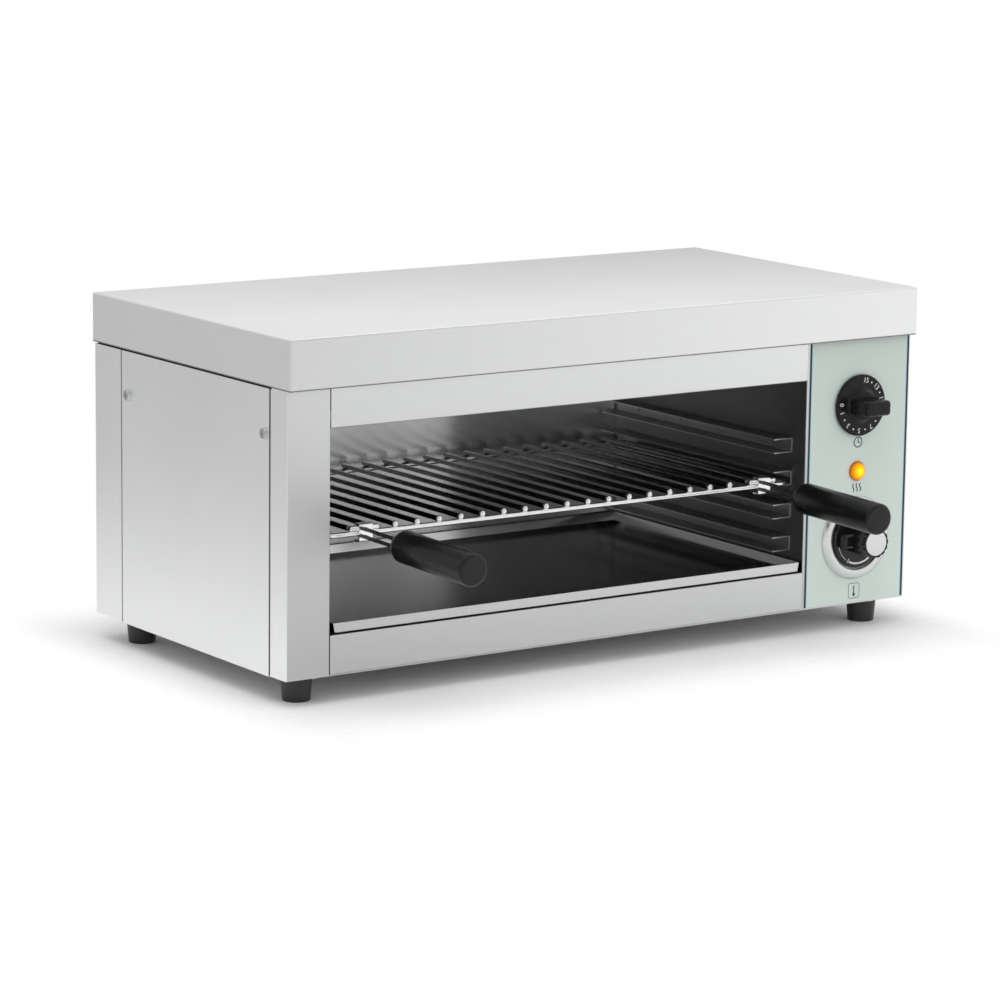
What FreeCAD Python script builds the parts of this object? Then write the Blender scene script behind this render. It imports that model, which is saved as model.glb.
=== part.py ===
import FreeCAD, Part
import math
import os
from FreeCAD import Placement, Rotation, Vector
import Sketcher

# Counter-top cheese melter: a folded stainless casing with an open-fronted
# grilling cavity on the left, a control bay on the right, a wire rack that
# slides in U-shaped runners and a drip tray under it.
# Frame: X to the right, Y to the back, Z up, the feet stand on Z = 0 and the
# origin is under the middle of the whole object, handles included.

doc = FreeCAD.newDocument("cheese_melter")

# Driving dimensions, in millimetres and degrees
CASING = {
    "cover_width": 600,  # cover, left to right
    "cover_depth": 300,  # cover, front to back
    "total_height": 280,  # feet to cover top
    "cover_skirt": 39,  # height of the cover's skirt
    "cover_sheet": 1.0,  # cover sheet
    "cover_round": 1.6,  # outside radius of the cover's folds
    "sheet": 0.8,  # casing sheet
    "fold_inside": 0.4,  # inside radius of the casing's folds
    "front_setback": 6,  # casing front behind the cover's edge
    "rear_gap": 1,  # casing back to the cover's rear skirt
    "foot_height": 21.2,  # feet under the base plate
    "post_width": 38,  # left front post
    "panel_width": 107,  # control panel
    "post_return": 23.5,  # side return of the front post and the panel
    "behind_flange": 18,  # flange behind the side panel
    "jamb": 10,  # return along each edge of the opening
    "sill_height": 31,  # sill
    "lintel_drop": 31,  # lintel under the cover's skirt
    "bottom_flange": 14,  # bottom returns of lintel and sill
    "top_flange": 12,  # top return of the lintel
    "seam": 0.3,  # seam between front pieces
    "rear_wrap": 42.5,  # side returns of the rear panel
    "rear_drop": 1.5,  # wrap and side panels under the cover's skirt
    "panel_gap": 1.6,  # front seam of the side panels
    "panel_seam": 0.5,  # rear seam of the side panels
    "panel_hang": 2,  # side panel under the casing's bottom
    "panel_lip": 9,  # bottom return of the side panels
    "film": 0.3,  # printed film
    "film_margin": 1.6,  # bare strip beside the film
    "upstand": 12,  # base plate's rear flange
}
CAVITY = {
    "liner": 0.6,  # cavity sheet
    "rear_space": 34.5,  # cavity's back wall to the cover's rear
    "roof_drop": 9,  # underside of the cavity's roof under the cover's skirt
    "roof_lip": 10,  # upturned edges of the roof
    "wall_foot": 4,  # bottom flange of the cavity's side walls
    "bead_width": 8,  # raised beads of the cavity's floor
    "bead_inset": 60,  # beads from the opening's edges
    "bead_end": 12,  # beads from the floor's ends
    "slide_gap": 0.2,  # clearance under the tray
    "tray_play": 3.1,  # drip tray to each side of the opening
    "tray_rear_gap": 3.5,  # drip tray to the back wall
    "tray_rim": 7.5,  # drip tray's wall
    "tray_sheet": 0.8,  # drip tray's sheet
    "tray_round": 2.0,  # drip tray's corners
    "tray_lift": 1.0,  # front wall of the tray over the sill
    "runner_lift": 15.1,  # underside of the lowest runner over the sill
    "runner_rise": 12,  # runner section
    "runner_reach": 18,  # runner section
    "runner_sheet": 0.8,  # runner sheet
    "runner_pitch": 27,  # runner to runner
    "runner_front_left": 33,  # left runners' front ends from the cover's front
    "runner_front_right": 25,  # right runners' front ends from the cover's front
    "runner_end": 3,  # runner's rear end to the back wall
    "runner_slot_length": 6,  # slots in the top runners
    "runner_slot_width": 2,  # slots in the top runners
    "runner_slot_pitch": 60,  # slots in the top runners
    "runner_slot_rear": 30,  # last slot from the runner's rear end
}
RACK = {
    "rod": 4.0,  # rack wire
    "rack_play": 4.5,  # rack to the runner's web
    "rack_front": 20,  # front rod from the cover's front
    "rack_rear_gap": 18.5,  # rear rod to the back wall
    "rack_corner": 8,  # corner radius of the rack's frame
    "bar_front": 2.5,  # bars in front of the front rod's middle
    "bar_rear": 5,  # bars behind the rear rod's middle
    "seat_gap": 0.3,  # rack over the runner
    "handle_inset": 29.5,  # handles from the rack's side rods
    "handle_shift": 2.5,  # both handles to the right
    "pin_length": 26,  # bracket's cross pin
    "bracket_width": 12,  # bracket
    "bracket_sheet": 1.5,  # bracket
    "bracket_lip": 7,  # bracket's lips
    "wire": 3.0,  # handle wire
    "wire_spacing": 6,  # upper to lower handle wire
    "wire_hole": 0.25,  # clearance round the handle wire
    "wire_in_grip": 45,  # handle wire inside the grip
    "grip_start": 29.5,  # grip in front of the cover's front
    "grip_length": 99.5,  # grip
    "grip_width": 25,  # grip diameter
    "grip_neck": 15,  # grip diameter at its rear end
    "grip_taper": 8,  # length of the grip's tapered end
    "grip_round": 1.5,  # edge of the grip's front end
    "droop": 1.2,  # handles point down, degrees
}
HEATING = {
    "element_rod": 6.6,  # heating element
    "element_pitch": 27,  # run to run
    "element_drop": 13,  # middle of the elements under the roof
    "element_first": 45,  # first run from the cover's front
    "element_gap": 30,  # front element to rear element
    "element_end": 30,  # bends from the cavity's left wall
    "element_right": 22,  # right bends from the right wall
    "element_cold": 14,  # element ends in the control bay
    "stud_rod": 3.4,  # terminal stud of the element
    "stud_length": 9,  # terminal stud of the element
    "bushing_rod": 10,  # bushing through the wall
    "bushing_collar": 14,  # collar of the bushing
    "bushing_length": 3,  # each side of the bushing
    "fit": 0.1,  # clearance of fixed round fits
    "hanger_sheet": 1.0,  # element hanger
    "hanger_drop": 5,  # hanger under the elements
    "support_inset": 90,  # hangers from the cavity's walls
    "hanger_margin": 10,  # hanger beyond the outer runs
}
CONTROLS = {
    "timer_share": 0.7511,  # timer knob, share of the panel's height
    "lamp_share": 0.5014,  # pilot lamp, share of the panel's height
    "thermostat_share": 0.248,  # thermostat knob, share of the panel's height
    "knob_gap": 0.8,  # knobs in front of the panel
    "timer_disc": 50.5,  # timer knob's disc
    "timer_disc_thick": 3.2,  # timer knob's disc
    "timer_hub": 34,  # foot of the timer knob's hub
    "timer_hub_rise": 8,  # timer knob's hub
    "timer_reach": 26,  # timer knob
    "timer_grip_length": 27,  # timer knob's grip
    "timer_grip_width": 13,  # timer knob's grip
    "thermostat_disc": 49,  # thermostat knob's disc
    "thermostat_disc_thick": 3.5,  # thermostat knob's disc
    "thermostat_bar_length": 43,  # thermostat knob's bar
    "thermostat_bar_width": 12,  # thermostat knob's bar
    "thermostat_bar_reach": 12,  # thermostat knob's bar
    "thermostat_grip": 25,  # thermostat knob's grip
    "thermostat_reach": 27,  # thermostat knob
    "cap_width": 22,  # end disc of the thermostat knob
    "cap_thick": 1.2,  # end disc of the thermostat knob
    "knob_round": 1.0,  # edges of the knobs
    "bezel_width": 69,  # thermostat bezel
    "bezel_inside": 52,  # thermostat bezel's opening
    "bezel_reach": 4.2,  # thermostat bezel in front of the film
    "bezel_rim": 1.2,  # flat rim of the thermostat bezel
    "bezel_sheet": 1.2,  # thermostat bezel
    "shaft": 6,  # control shafts
    "shaft_fit": 0.05,  # running clearance of the shafts
    "shaft_in_knob": 16,  # shaft inside the knob
    "shaft_in_body": 18,  # shaft inside the control
    "neck": 11,  # threaded neck of the controls
    "neck_hole": 0.4,  # clearance round the necks
    "timer_box_width": 44,  # timer
    "timer_box_height": 50,  # timer
    "timer_box_depth": 38,  # timer
    "thermostat_can": 46,  # thermostat
    "thermostat_depth": 36,  # thermostat
    "tab_length": 8,  # blade terminals
    "tab_width": 6.3,  # blade terminals
    "tab_thick": 0.8,  # blade terminals
    "tab_spread": 7.6,  # blade terminals from the control's middle
    "lamp_width": 14.3,  # pilot lamp's lens
    "lamp_dome": 4.2,  # pilot lamp's lens
    "lamp_rim": 16,  # pilot lamp's rim
    "lamp_rim_thick": 0.9,  # pilot lamp's rim
    "lamp_body": 11.5,  # pilot lamp's body
    "lamp_depth": 28,  # pilot lamp behind the panel
    "lamp_nut": 17,  # pilot lamp's nut
    "lamp_nut_thick": 3,  # pilot lamp's nut
    "sensor_rod": 6,  # thermostat's sensor
    "sensor_length": 80,  # thermostat's sensor
    "sensor_drop": 5,  # sensor under the roof
    "capillary": 1.8,  # thermostat's capillary
    "capillary_bend": 12,  # capillary's bends
    "block_width": 46,  # terminal block
    "block_depth": 26,  # terminal block
    "block_height": 20,  # terminal block
    "block_hole": 5,  # terminal block's wire holes
    "block_screw": 4.4,  # terminal block's screw wells
    "block_from_back": 50,  # terminal block from the casing's back
    "lead": 2.6,  # internal lead
    "lead_bend": 8,  # internal lead's bends
    "lead_rise": 12,  # internal lead behind a terminal
    "lead_reach": 90,  # lamp's lead towards the back
}
FASTENINGS = {
    "foot_top": 25,  # foot
    "foot_bottom": 21.5,  # foot
    "foot_round": 1.2,  # foot's lower edge
    "foot_bore": 10.5,  # foot's recess
    "foot_floor": 7,  # rubber over the foot's recess
    "foot_inset_side": 25,  # feet from the cover's sides
    "foot_inset_front": 31,  # feet from the cover's front
    "foot_inset_rear": 34,  # feet from the cover's rear
    "foot_screw": 4,  # foot screw
    "foot_screw_head": 8.5,  # foot screw's head
    "foot_nut": 8,  # foot screw's nut
    "nut_thick": 3.2,  # nuts
    "side_head": 9.4,  # side panel screw's head
    "side_head_thick": 2.4,  # side panel screw's head
    "side_screw_drop": 34.5,  # side panel screws under the side panel's top
    "side_screw_front": 8.7,  # front side screws behind the front return
    "side_screw_rear": 11,  # rear side screws in front of the rear wrap
    "small_head": 7.5,  # small pan head
    "small_head_thick": 2.0,  # small pan head
    "screw": 3.8,  # screw shank
    "screw_length": 9,  # screw shank
    "recess": 0.9,  # width of the cross recess
    "recess_depth": 1.1,  # depth of the cross recess
    "recess_share": 0.56,  # length of the recess, share of the head
    "end_screw_inset": 30,  # outer screws from the cover's sides
    "front_screw_y": 15,  # screws under the front edge, from the cover's front
    "rear_screw_rise": 8,  # rear panel screws over the base plate
    "cover_screw_drop": 20,  # cover screws under the cover's top
    "gland_rise": 40,  # cable gland over the base plate
    "gland_hex": 20,  # cable gland across flats
    "gland_hex_thick": 6,  # cable gland
    "gland_nose": 17,  # cable gland's nose
    "gland_reach": 14,  # cable gland behind the casing
    "gland_thread": 16,  # cable gland's thread
    "gland_thread_length": 9,  # cable gland's thread
    "gland_bore": 8.6,  # cable gland's bore
    "gland_nut": 22,  # gland's lock nut across flats
    "gland_nut_thick": 4,  # gland's lock nut
    "vent_length": 60,  # vent slots
    "vent_width": 4,  # vent slots
    "vent_pitch": 11,  # vent slots
    "vent_low": 120,  # lowest rear vent slot
    "earth_screw": 5,  # earth stud
    "earth_length": 14,  # earth stud
    "earth_nut": 8,  # earth stud's nut
    "overrun": 3,  # cuts past the face they start from
}
GROUPS = {
    "casing": CASING,
    "cavity": CAVITY,
    "rack": RACK,
    "heating": HEATING,
    "controls": CONTROLS,
    "fastenings": FASTENINGS,
}
BAR_COUNT = 21
RUNNER_COUNT = 4
RUNNER_SLOTS = 4
ELEMENT_RUNS = 4
FRONT_SCREWS = 5
REAR_SCREWS = 3
REAR_VENTS = 6
BASE_VENTS = 5
BLOCK_WAYS = 3
RACK_LEVEL = 2
HEXAGON_SIDES = 6


class Size:
    """A length with its value and the expression that gives it."""

    def __init__(self, value, text):
        self.value = float(value)
        self.text = text

    def _join(self, other, sign, value):
        return Size(value, "(%s %s %s)" % (self.text, sign, text_of(other)))

    def __add__(self, other):
        return self._join(other, "+", self.value + value_of(other))

    def __sub__(self, other):
        return self._join(other, "-", self.value - value_of(other))

    def __mul__(self, other):
        return self._join(other, "*", self.value * value_of(other))

    def __truediv__(self, other):
        return self._join(other, "/", self.value / value_of(other))

    def __neg__(self):
        return self * -1

    def __radd__(self, other):
        return self + other


def value_of(item):
    return item.value if isinstance(item, Size) else float(item)


def sine(angle):
    """Sine of a size in degrees."""
    return Size(math.sin(math.radians(angle.value)), "sin(%s * 1 deg)" % angle.text)


def text_of(item):
    return item.text if isinstance(item, Size) else repr(item)


def fill_sheet():
    """Write the driving dimensions into the spreadsheet and return them by name."""
    sheet = doc.addObject("Spreadsheet::Sheet", "Sizes")
    named = {}
    row = 1
    for heading, group_sizes in GROUPS.items():
        sheet.set("A%d" % row, heading)
        row += 1
        for alias, number in group_sizes.items():
            sheet.set("A%d" % row, alias.replace("_", " "))
            sheet.set("B%d" % row, str(number))
            sheet.setAlias("B%d" % row, alias)
            named[alias] = Size(number, "Sizes." + alias)
            row += 1
    doc.recompute()
    return named


class Names:
    """The driving dimensions as attributes."""

    def __init__(self, named):
        self.__dict__.update(named)


S = Names(fill_sheet())
NODES = []


def node(obj, label):
    """Keep an object as one of the parts that are written out."""
    obj.Label = label
    NODES.append(obj)
    return obj


def bind(obj, name, size):
    """Give a property its value and its expression."""
    setattr(obj, name, value_of(size))
    obj.setExpression(name, text_of(size))


def place(obj, at, rotation=None):
    """Put an object at three sizes, turned by a fixed rotation."""
    obj.Placement = Placement(Vector(*[value_of(item) for item in at]), rotation or Rotation())
    for letter, item in zip("xyz", at):
        if isinstance(item, Size):
            obj.setExpression("Placement.Base." + letter, item.text)
    return obj


TURN = {
    "Z": Rotation(),
    "X": Rotation(Vector(0, 1, 0), 90),
    "Y": Rotation(Vector(1, 0, 0), -90),
}


def box(at, extent):
    obj = doc.addObject("Part::Box", "box")
    for name, size in zip(("Length", "Width", "Height"), extent):
        bind(obj, name, size)
    return place(obj, at)


def rod(axis, at, diameter, length):
    obj = doc.addObject("Part::Cylinder", "rod")
    bind(obj, "Radius", diameter / 2)
    bind(obj, "Height", length)
    return place(obj, at, TURN[axis])


def hexagon(axis, at, flats, length):
    """Hexagonal prism by its width across flats."""
    obj = doc.addObject("Part::Prism", "hexagon")
    obj.Polygon = HEXAGON_SIDES
    bind(obj, "Circumradius", flats / (math.cos(math.pi / HEXAGON_SIDES) * 2))
    bind(obj, "Height", length)
    return place(obj, at, TURN[axis])


def half_ring(at, bend, diameter, turn):
    """Half of a ring that lies flat, its open side turned about Z."""
    obj = doc.addObject("Part::Torus", "bend")
    bind(obj, "Radius1", bend)
    bind(obj, "Radius2", diameter / 2)
    obj.Angle3 = 180
    return place(obj, at, Rotation(Vector(0, 0, 1), turn))


def fuse(parts):
    obj = doc.addObject("Part::MultiFuse", "joined")
    obj.Shapes = parts
    obj.Refine = True
    return obj


def cut(base, tools):
    obj = doc.addObject("Part::Cut", "cut")
    obj.Base = base
    obj.Tool = tools[0] if len(tools) == 1 else fuse(tools)
    return obj


def group(parts):
    obj = doc.addObject("Part::Compound", "group")
    obj.Links = parts
    return obj


def new_body(at, rotation=None):
    return place(doc.addObject("PartDesign::Body", "body"), at, rotation)


def plane_of(body, role):
    return [item for item in body.Origin.OriginFeatures if item.Role == role][0]


def outline_sketch(body, role, corners):
    """A closed outline of straight lines, each corner held by two sizes."""
    sketch = body.newObject("Sketcher::SketchObject", "outline")
    sketch.AttachmentSupport = (plane_of(body, role), [""])
    sketch.MapMode = "FlatFace"
    points = [Vector(value_of(u), value_of(v), 0) for u, v in corners]
    count = len(points)
    for i in range(count):
        sketch.addGeometry(Part.LineSegment(points[i], points[(i + 1) % count]), False)
    for i in range(count):
        sketch.addConstraint(Sketcher.Constraint("Coincident", i, 2, (i + 1) % count, 1))
    for i, corner in enumerate(corners):
        for item, kind, line in zip(corner, ("DistanceX", "DistanceY"), (-2, -1)):
            if isinstance(item, Size):
                index = sketch.addConstraint(Sketcher.Constraint(kind, -1, 1, i, 1, item.value))
                sketch.setExpression("Constraints[%d]" % index, item.text)
            else:
                sketch.addConstraint(Sketcher.Constraint("PointOnObject", i, 1, line))
    return sketch


def circle_sketch(body, role, centre, diameter):
    sketch = body.newObject("Sketcher::SketchObject", "circle")
    sketch.AttachmentSupport = (plane_of(body, role), [""])
    sketch.MapMode = "FlatFace"
    middle = Vector(value_of(centre[0]), value_of(centre[1]), 0)
    sketch.addGeometry(Part.Circle(middle, Vector(0, 0, 1), value_of(diameter) / 2), False)
    sketch.addConstraint(Sketcher.Constraint("Coincident", 0, 3, -1, 1))
    index = sketch.addConstraint(Sketcher.Constraint("Diameter", 0, value_of(diameter)))
    sketch.setExpression("Constraints[%d]" % index, text_of(diameter))
    return sketch


def pad(body, sketch, length, back=False):
    feature = body.newObject("PartDesign::Pad", "pad")
    feature.Profile = sketch
    feature.Reversed = back
    bind(feature, "Length", length)
    doc.recompute()
    return feature


def round_edges(body, base, radius, wanted):
    """Fillet the edges of the last feature that the test picks."""
    names = ["Edge%d" % (i + 1) for i, edge in enumerate(base.Shape.Edges) if wanted(edge)]
    feature = body.newObject("PartDesign::Fillet", "round")
    feature.Base = (base, names)
    bind(feature, "Radius", radius)
    doc.recompute()
    return feature


NORMAL = {"XY_Plane": 2, "XZ_Plane": 1, "YZ_Plane": 0}


def close(a, b):
    return math.isclose(a, b, abs_tol=1e-4)


def along(axis_index, spots):
    """A test for straight edges along one axis through given spots of the other two."""
    others = [i for i in range(3) if i != axis_index]

    def test(edge):
        if len(edge.Vertexes) != 2 or edge.Curve.TypeId != "Part::GeomLine":
            return False
        one, two = edge.Vertexes[0].Point, edge.Vertexes[1].Point
        if not all(close(one[i], two[i]) for i in others):
            return False
        return any(all(close(one[i], value_of(size)) for i, size in zip(others, spot)) for spot in spots)
    return test


def at_level(axis_index, level):
    """A test for edges that lie in one plane across an axis."""
    def test(edge):
        return all(close(vertex.Point[axis_index], value_of(level)) for vertex in edge.Vertexes)
    return test


def folded(role, path, thickness, length, at, side=1, sharp=()):
    """A sheet bent along a path of straight runs, seen end on in one plane."""
    count = len(path)
    runs = []
    for i in range(count - 1):
        step = [value_of(path[i + 1][k]) - value_of(path[i][k]) for k in (0, 1)]
        runs.append([(value > 0) - (value < 0) if abs(value) > 1e-6 else 0 for value in step])
    normals = [(-run[1] * side, run[0] * side) for run in runs]
    inner = []
    for i, point in enumerate(path):
        near = {normals[max(i - 1, 0)], normals[min(i, count - 2)]}
        moved = []
        for k in (0, 1):
            push = sum(normal[k] for normal in near)
            moved.append(point[k] + thickness * push if push else point[k])
        inner.append(tuple(moved))
    body = new_body(at)
    sketch = outline_sketch(body, role, list(path) + inner[::-1])
    solid = pad(body, sketch, length, back=(role == "XZ_Plane"))
    wide, tight = [], []
    for i in range(1, count - 1):
        if i in sharp:
            continue
        turn = (runs[i - 1][0] * runs[i][1] - runs[i - 1][1] * runs[i][0]) * side
        wide.append(path[i] if turn > 0 else inner[i])
        tight.append(inner[i] if turn > 0 else path[i])
    if wide:
        axis = NORMAL[role]
        solid = round_edges(body, solid, S.fold_inside + thickness, along(axis, wide))
        solid = round_edges(body, solid, S.fold_inside, along(axis, tight))
    return body


def turned(axis, outline, at, rounds=()):
    """A solid of revolution: the outline holds radius and place along the axis."""
    body = new_body(at)
    role = "XY_Plane" if axis == "Y" else "XZ_Plane"
    sketch = outline_sketch(body, role, outline)
    solid = body.newObject("PartDesign::Revolution", "turning")
    solid.Profile = sketch
    solid.ReferenceAxis = (sketch, ["V_Axis"])
    solid.Angle = 360
    doc.recompute()
    axis_index = {"Y": 1, "Z": 2}[axis]
    for corner, radius in rounds:
        spot = outline[corner]

        def ring(edge):
            if edge.Curve.TypeId != "Part::GeomCircle":
                return False
            level = close(edge.Curve.Center[axis_index], value_of(spot[1]))
            return level and close(edge.Curve.Radius, value_of(spot[0]))
        solid = round_edges(body, solid, radius, ring)
    return body


def pan_screw(axis, way, at, head, head_thick, shank, length):
    """A pan-head screw; way is +1 where the head points up the axis, at is under the head."""
    place_of = {"X": 0, "Y": 1, "Z": 2}[axis]

    def shifted(amount):
        moved = list(at)
        moved[place_of] = moved[place_of] + amount
        return moved

    top = head_thick if way > 0 else -head_thick
    body = new_body(at, TURN[axis] if way > 0 else TURN[axis] * Rotation(Vector(1, 0, 0), 180))
    sketch = outline_sketch(body, "XZ_Plane", [
        (0, -length), (shank / 2, -length), (shank / 2, 0), (head / 2, 0), (head / 2, head_thick),
        (0, head_thick)])
    solid = body.newObject("PartDesign::Revolution", "turning")
    solid.Profile = sketch
    solid.ReferenceAxis = (sketch, ["V_Axis"])
    solid.Angle = 360
    doc.recompute()
    round_edges(body, solid, head_thick / 2, at_level(2, head_thick))
    slot = head * S.recess_share
    start = shifted(top - S.recess_depth if way > 0 else top - S.overrun)
    across = [i for i in range(3) if i != place_of]
    tools = []
    for long_way in across:
        extent = [S.recess, S.recess, S.recess]
        corner = list(start)
        extent[long_way] = slot
        extent[place_of] = S.recess_depth + S.overrun
        for i in across:
            corner[i] = corner[i] - extent[i] / 2
        tools.append(box(corner, extent))
    return cut(body, tools)


def tube_path(points, bend):
    """A wire of straight runs joined by arcs of one radius."""
    spots = [Vector(*[value_of(item) for item in point]) for point in points]
    edges = []
    start = spots[0]
    for i in range(1, len(spots) - 1):
        back = (spots[i - 1] - spots[i]).normalize()
        ahead = (spots[i + 1] - spots[i]).normalize()
        half = back.getAngle(ahead) / 2
        reach = value_of(bend) / math.tan(half)
        first = spots[i] + back * reach
        last = spots[i] + ahead * reach
        inward = (back + ahead).normalize()
        middle = spots[i] + inward * (value_of(bend) / math.sin(half) - value_of(bend))
        edges.append(Part.LineSegment(start, first).toShape())
        edges.append(Part.Arc(first, middle, last).toShape())
        start = last
    edges.append(Part.LineSegment(start, spots[-1]).toShape())
    return Part.Wire(edges)


def bent_tube(points, diameter, bend):
    """A round wire along a path, as a plain solid at the origin."""
    path = tube_path(points, bend)
    start = path.Vertexes[0].Point
    way = path.Edges[0].tangentAt(path.Edges[0].FirstParameter)
    ring = Part.Wire([Part.makeCircle(value_of(diameter) / 2, start, way)])
    return path.makePipeShell([ring], True, False)


# Planes and places that the pieces share
grip_dip = (S.grip_width / 2 - S.grip_round) * sine(S.droop)
handle_reach = S.grip_start + S.grip_length + grip_dip
rear_reach = S.cover_depth - S.cover_sheet - S.rear_gap + S.gland_reach
front = (handle_reach - rear_reach) / 2
cover_left = -S.cover_width / 2
left = cover_left + S.cover_sheet
right = -left
face = front + S.front_setback
rear = front + S.cover_depth - S.cover_sheet - S.rear_gap
bottom = S.foot_height + S.sheet
skirt = S.total_height - S.cover_skirt
under_cover = S.total_height - S.cover_sheet
open_left = left + S.post_width
open_right = right - S.panel_width
open_bottom = bottom + S.sill_height
open_top = skirt - S.lintel_drop
open_width = open_right - open_left
open_middle = (open_left + open_right) / 2
back_wall = front + S.cover_depth - S.rear_space
roof_height = skirt - S.roof_drop
element_height = roof_height - S.element_drop
side_top = skirt - S.rear_drop
cavity_start = face + S.sheet * 2
cavity_depth = back_wall - cavity_start
return_end = face + S.post_return
wrap_start = rear - S.rear_wrap
control_x = (open_right + right) / 2
timer_height = bottom + (skirt - bottom) * S.timer_share
lamp_height = bottom + (skirt - bottom) * S.lamp_share
thermostat_height = bottom + (skirt - bottom) * S.thermostat_share
gland_height = bottom + S.gland_rise
side_screw_height = side_top - S.side_screw_drop
side_screw_rows = [return_end + S.side_screw_front, wrap_start - S.side_screw_rear]
wall_left = open_left - S.sheet
wall_right = open_right + S.sheet

FEET = [
    ("front_left", cover_left + S.foot_inset_side, front + S.foot_inset_front),
    ("front_right", -cover_left - S.foot_inset_side, front + S.foot_inset_front),
    ("rear_left", cover_left + S.foot_inset_side, front + S.cover_depth - S.foot_inset_rear),
    ("rear_right", -cover_left - S.foot_inset_side, front + S.cover_depth - S.foot_inset_rear),
]


def build_cover():
    """Folded pan over the whole casing, open at the bottom."""
    body = new_body((cover_left, front, skirt))
    outside = [(0, 0), (S.cover_width, 0), (S.cover_width, S.cover_depth), (0, S.cover_depth)]
    solid = pad(body, outline_sketch(body, "XY_Plane", outside), S.cover_skirt)
    spots = [(0, 0), (S.cover_width, 0), (S.cover_width, S.cover_depth), (0, S.cover_depth)]
    solid = round_edges(body, solid, S.cover_round, along(2, spots))
    solid = round_edges(body, solid, S.cover_round, at_level(2, S.cover_skirt))
    hollow = box(
        (left, front + S.cover_sheet, skirt - S.overrun),
        (right - left, S.cover_depth - S.cover_sheet * 2, S.cover_skirt - S.cover_sheet + S.overrun))
    holes = [screw_hole("Y", (x, rear, S.total_height - S.cover_screw_drop)) for x in spread(REAR_SCREWS)]
    node(cut(body, [hollow] + holes), "top_cover")


def spread(count):
    """Places of a row of screws from near one side of the cover to near the other."""
    reach = S.cover_width / 2 - S.end_screw_inset
    middle = (count - 1) / 2
    return [reach * (step / middle - 1) for step in range(count)]


def screw_hole(axis, at):
    """A clearance hole that runs past both sides of a sheet."""
    place_of = {"X": 0, "Y": 1, "Z": 2}[axis]
    start = list(at)
    start[place_of] = start[place_of] - S.overrun
    return rod(axis, start, S.screw + S.fit * 2, S.overrun * 2)


def build_front():
    """Post, lintel, sill and control panel around the opening."""
    tall = under_cover - bottom
    flange_end = return_end + S.behind_flange
    post = folded("XY_Plane", [
        (S.sheet, flange_end - face), (S.sheet, return_end - face), (0, return_end - face), (0, 0),
        (S.post_width, 0), (S.post_width, S.jamb)], S.sheet, tall, (left, face, bottom), 1, (1, 2))
    side_hole = screw_hole("X", (left + S.sheet, side_screw_rows[0], side_screw_height))
    foot_corner = box(
        (left - S.overrun, return_end - S.sheet * 2, side_top),
        (S.overrun + S.sheet * 4, S.behind_flange + S.sheet * 4, under_cover - side_top + S.overrun))
    tab_end = wall_left - S.wall_foot - S.seam
    tab_start = left + S.sheet * 2
    tab = front_tab(tab_start, tab_end - tab_start)
    screw_places = spread(FRONT_SCREWS)
    tab_hole = screw_hole("Z", (screw_places[0], front + S.front_screw_y, bottom))
    node(cut(fuse([post, tab]), [side_hole, foot_corner, tab_hole]), "front_post_left")

    inner_width = open_width - S.seam * 2
    lintel = folded("YZ_Plane", [
        (S.bottom_flange, 0), (0, 0), (0, under_cover - open_top), (S.top_flange, under_cover - open_top)],
        S.sheet, inner_width, (open_left + S.seam, face, open_top), -1)
    node(lintel, "front_lintel")

    sill = folded("YZ_Plane", [
        (S.bottom_flange, 0), (0, 0), (0, S.sill_height), (S.jamb, S.sill_height)],
        S.sheet, inner_width, (open_left + S.seam, face, bottom), -1)
    holes = [screw_hole("Z", (x, front + S.front_screw_y, bottom)) for x in screw_places[1:-1]]
    node(cut(sill, holes), "front_sill")

    panel = folded("XY_Plane", [
        (0, S.jamb), (0, 0), (S.panel_width, 0), (S.panel_width, return_end - face),
        (S.panel_width - S.sheet, return_end - face), (S.panel_width - S.sheet, flange_end - face)],
        S.sheet, tall, (open_right, face, bottom), 1, (3, 4))
    holes = panel_holes(face - S.overrun, S.overrun * 2)
    holes.append(screw_hole("X", (right - S.sheet, side_screw_rows[0], side_screw_height)))
    holes.append(box(
        (right - S.sheet * 4, return_end - S.sheet * 2, side_top),
        (S.overrun + S.sheet * 4, S.behind_flange + S.sheet * 4, under_cover - side_top + S.overrun)))
    holes.append(screw_hole("Z", (screw_places[-1], front + S.front_screw_y, bottom)))
    tab_start = wall_right + S.wall_foot + S.seam
    tab = front_tab(tab_start, right - S.sheet * 2 - tab_start)
    node(cut(fuse([panel, tab]), holes), "control_panel")

    film = box(
        (open_right + S.film_margin, face - S.film, bottom + S.sheet),
        (S.panel_width - S.film_margin * 2, S.film, skirt - bottom + S.sheet * 4))
    node(cut(film, panel_holes(face - S.overrun, S.overrun * 2)), "panel_film")


def front_tab(start, width):
    """A tab at the foot of a front piece that lies on the base plate."""
    return box((start, face + S.sheet / 2, bottom), (width, S.bottom_flange - S.sheet / 2, S.sheet))


def panel_holes(start, length):
    """Holes for the two control necks and the lamp."""
    holes = []
    seats = ((timer_height, S.neck), (thermostat_height, S.neck), (lamp_height, S.lamp_body))
    for height, width in seats:
        holes.append(rod("Y", (control_x, start, height), width + S.neck_hole * 2, length))
    return holes


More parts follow.
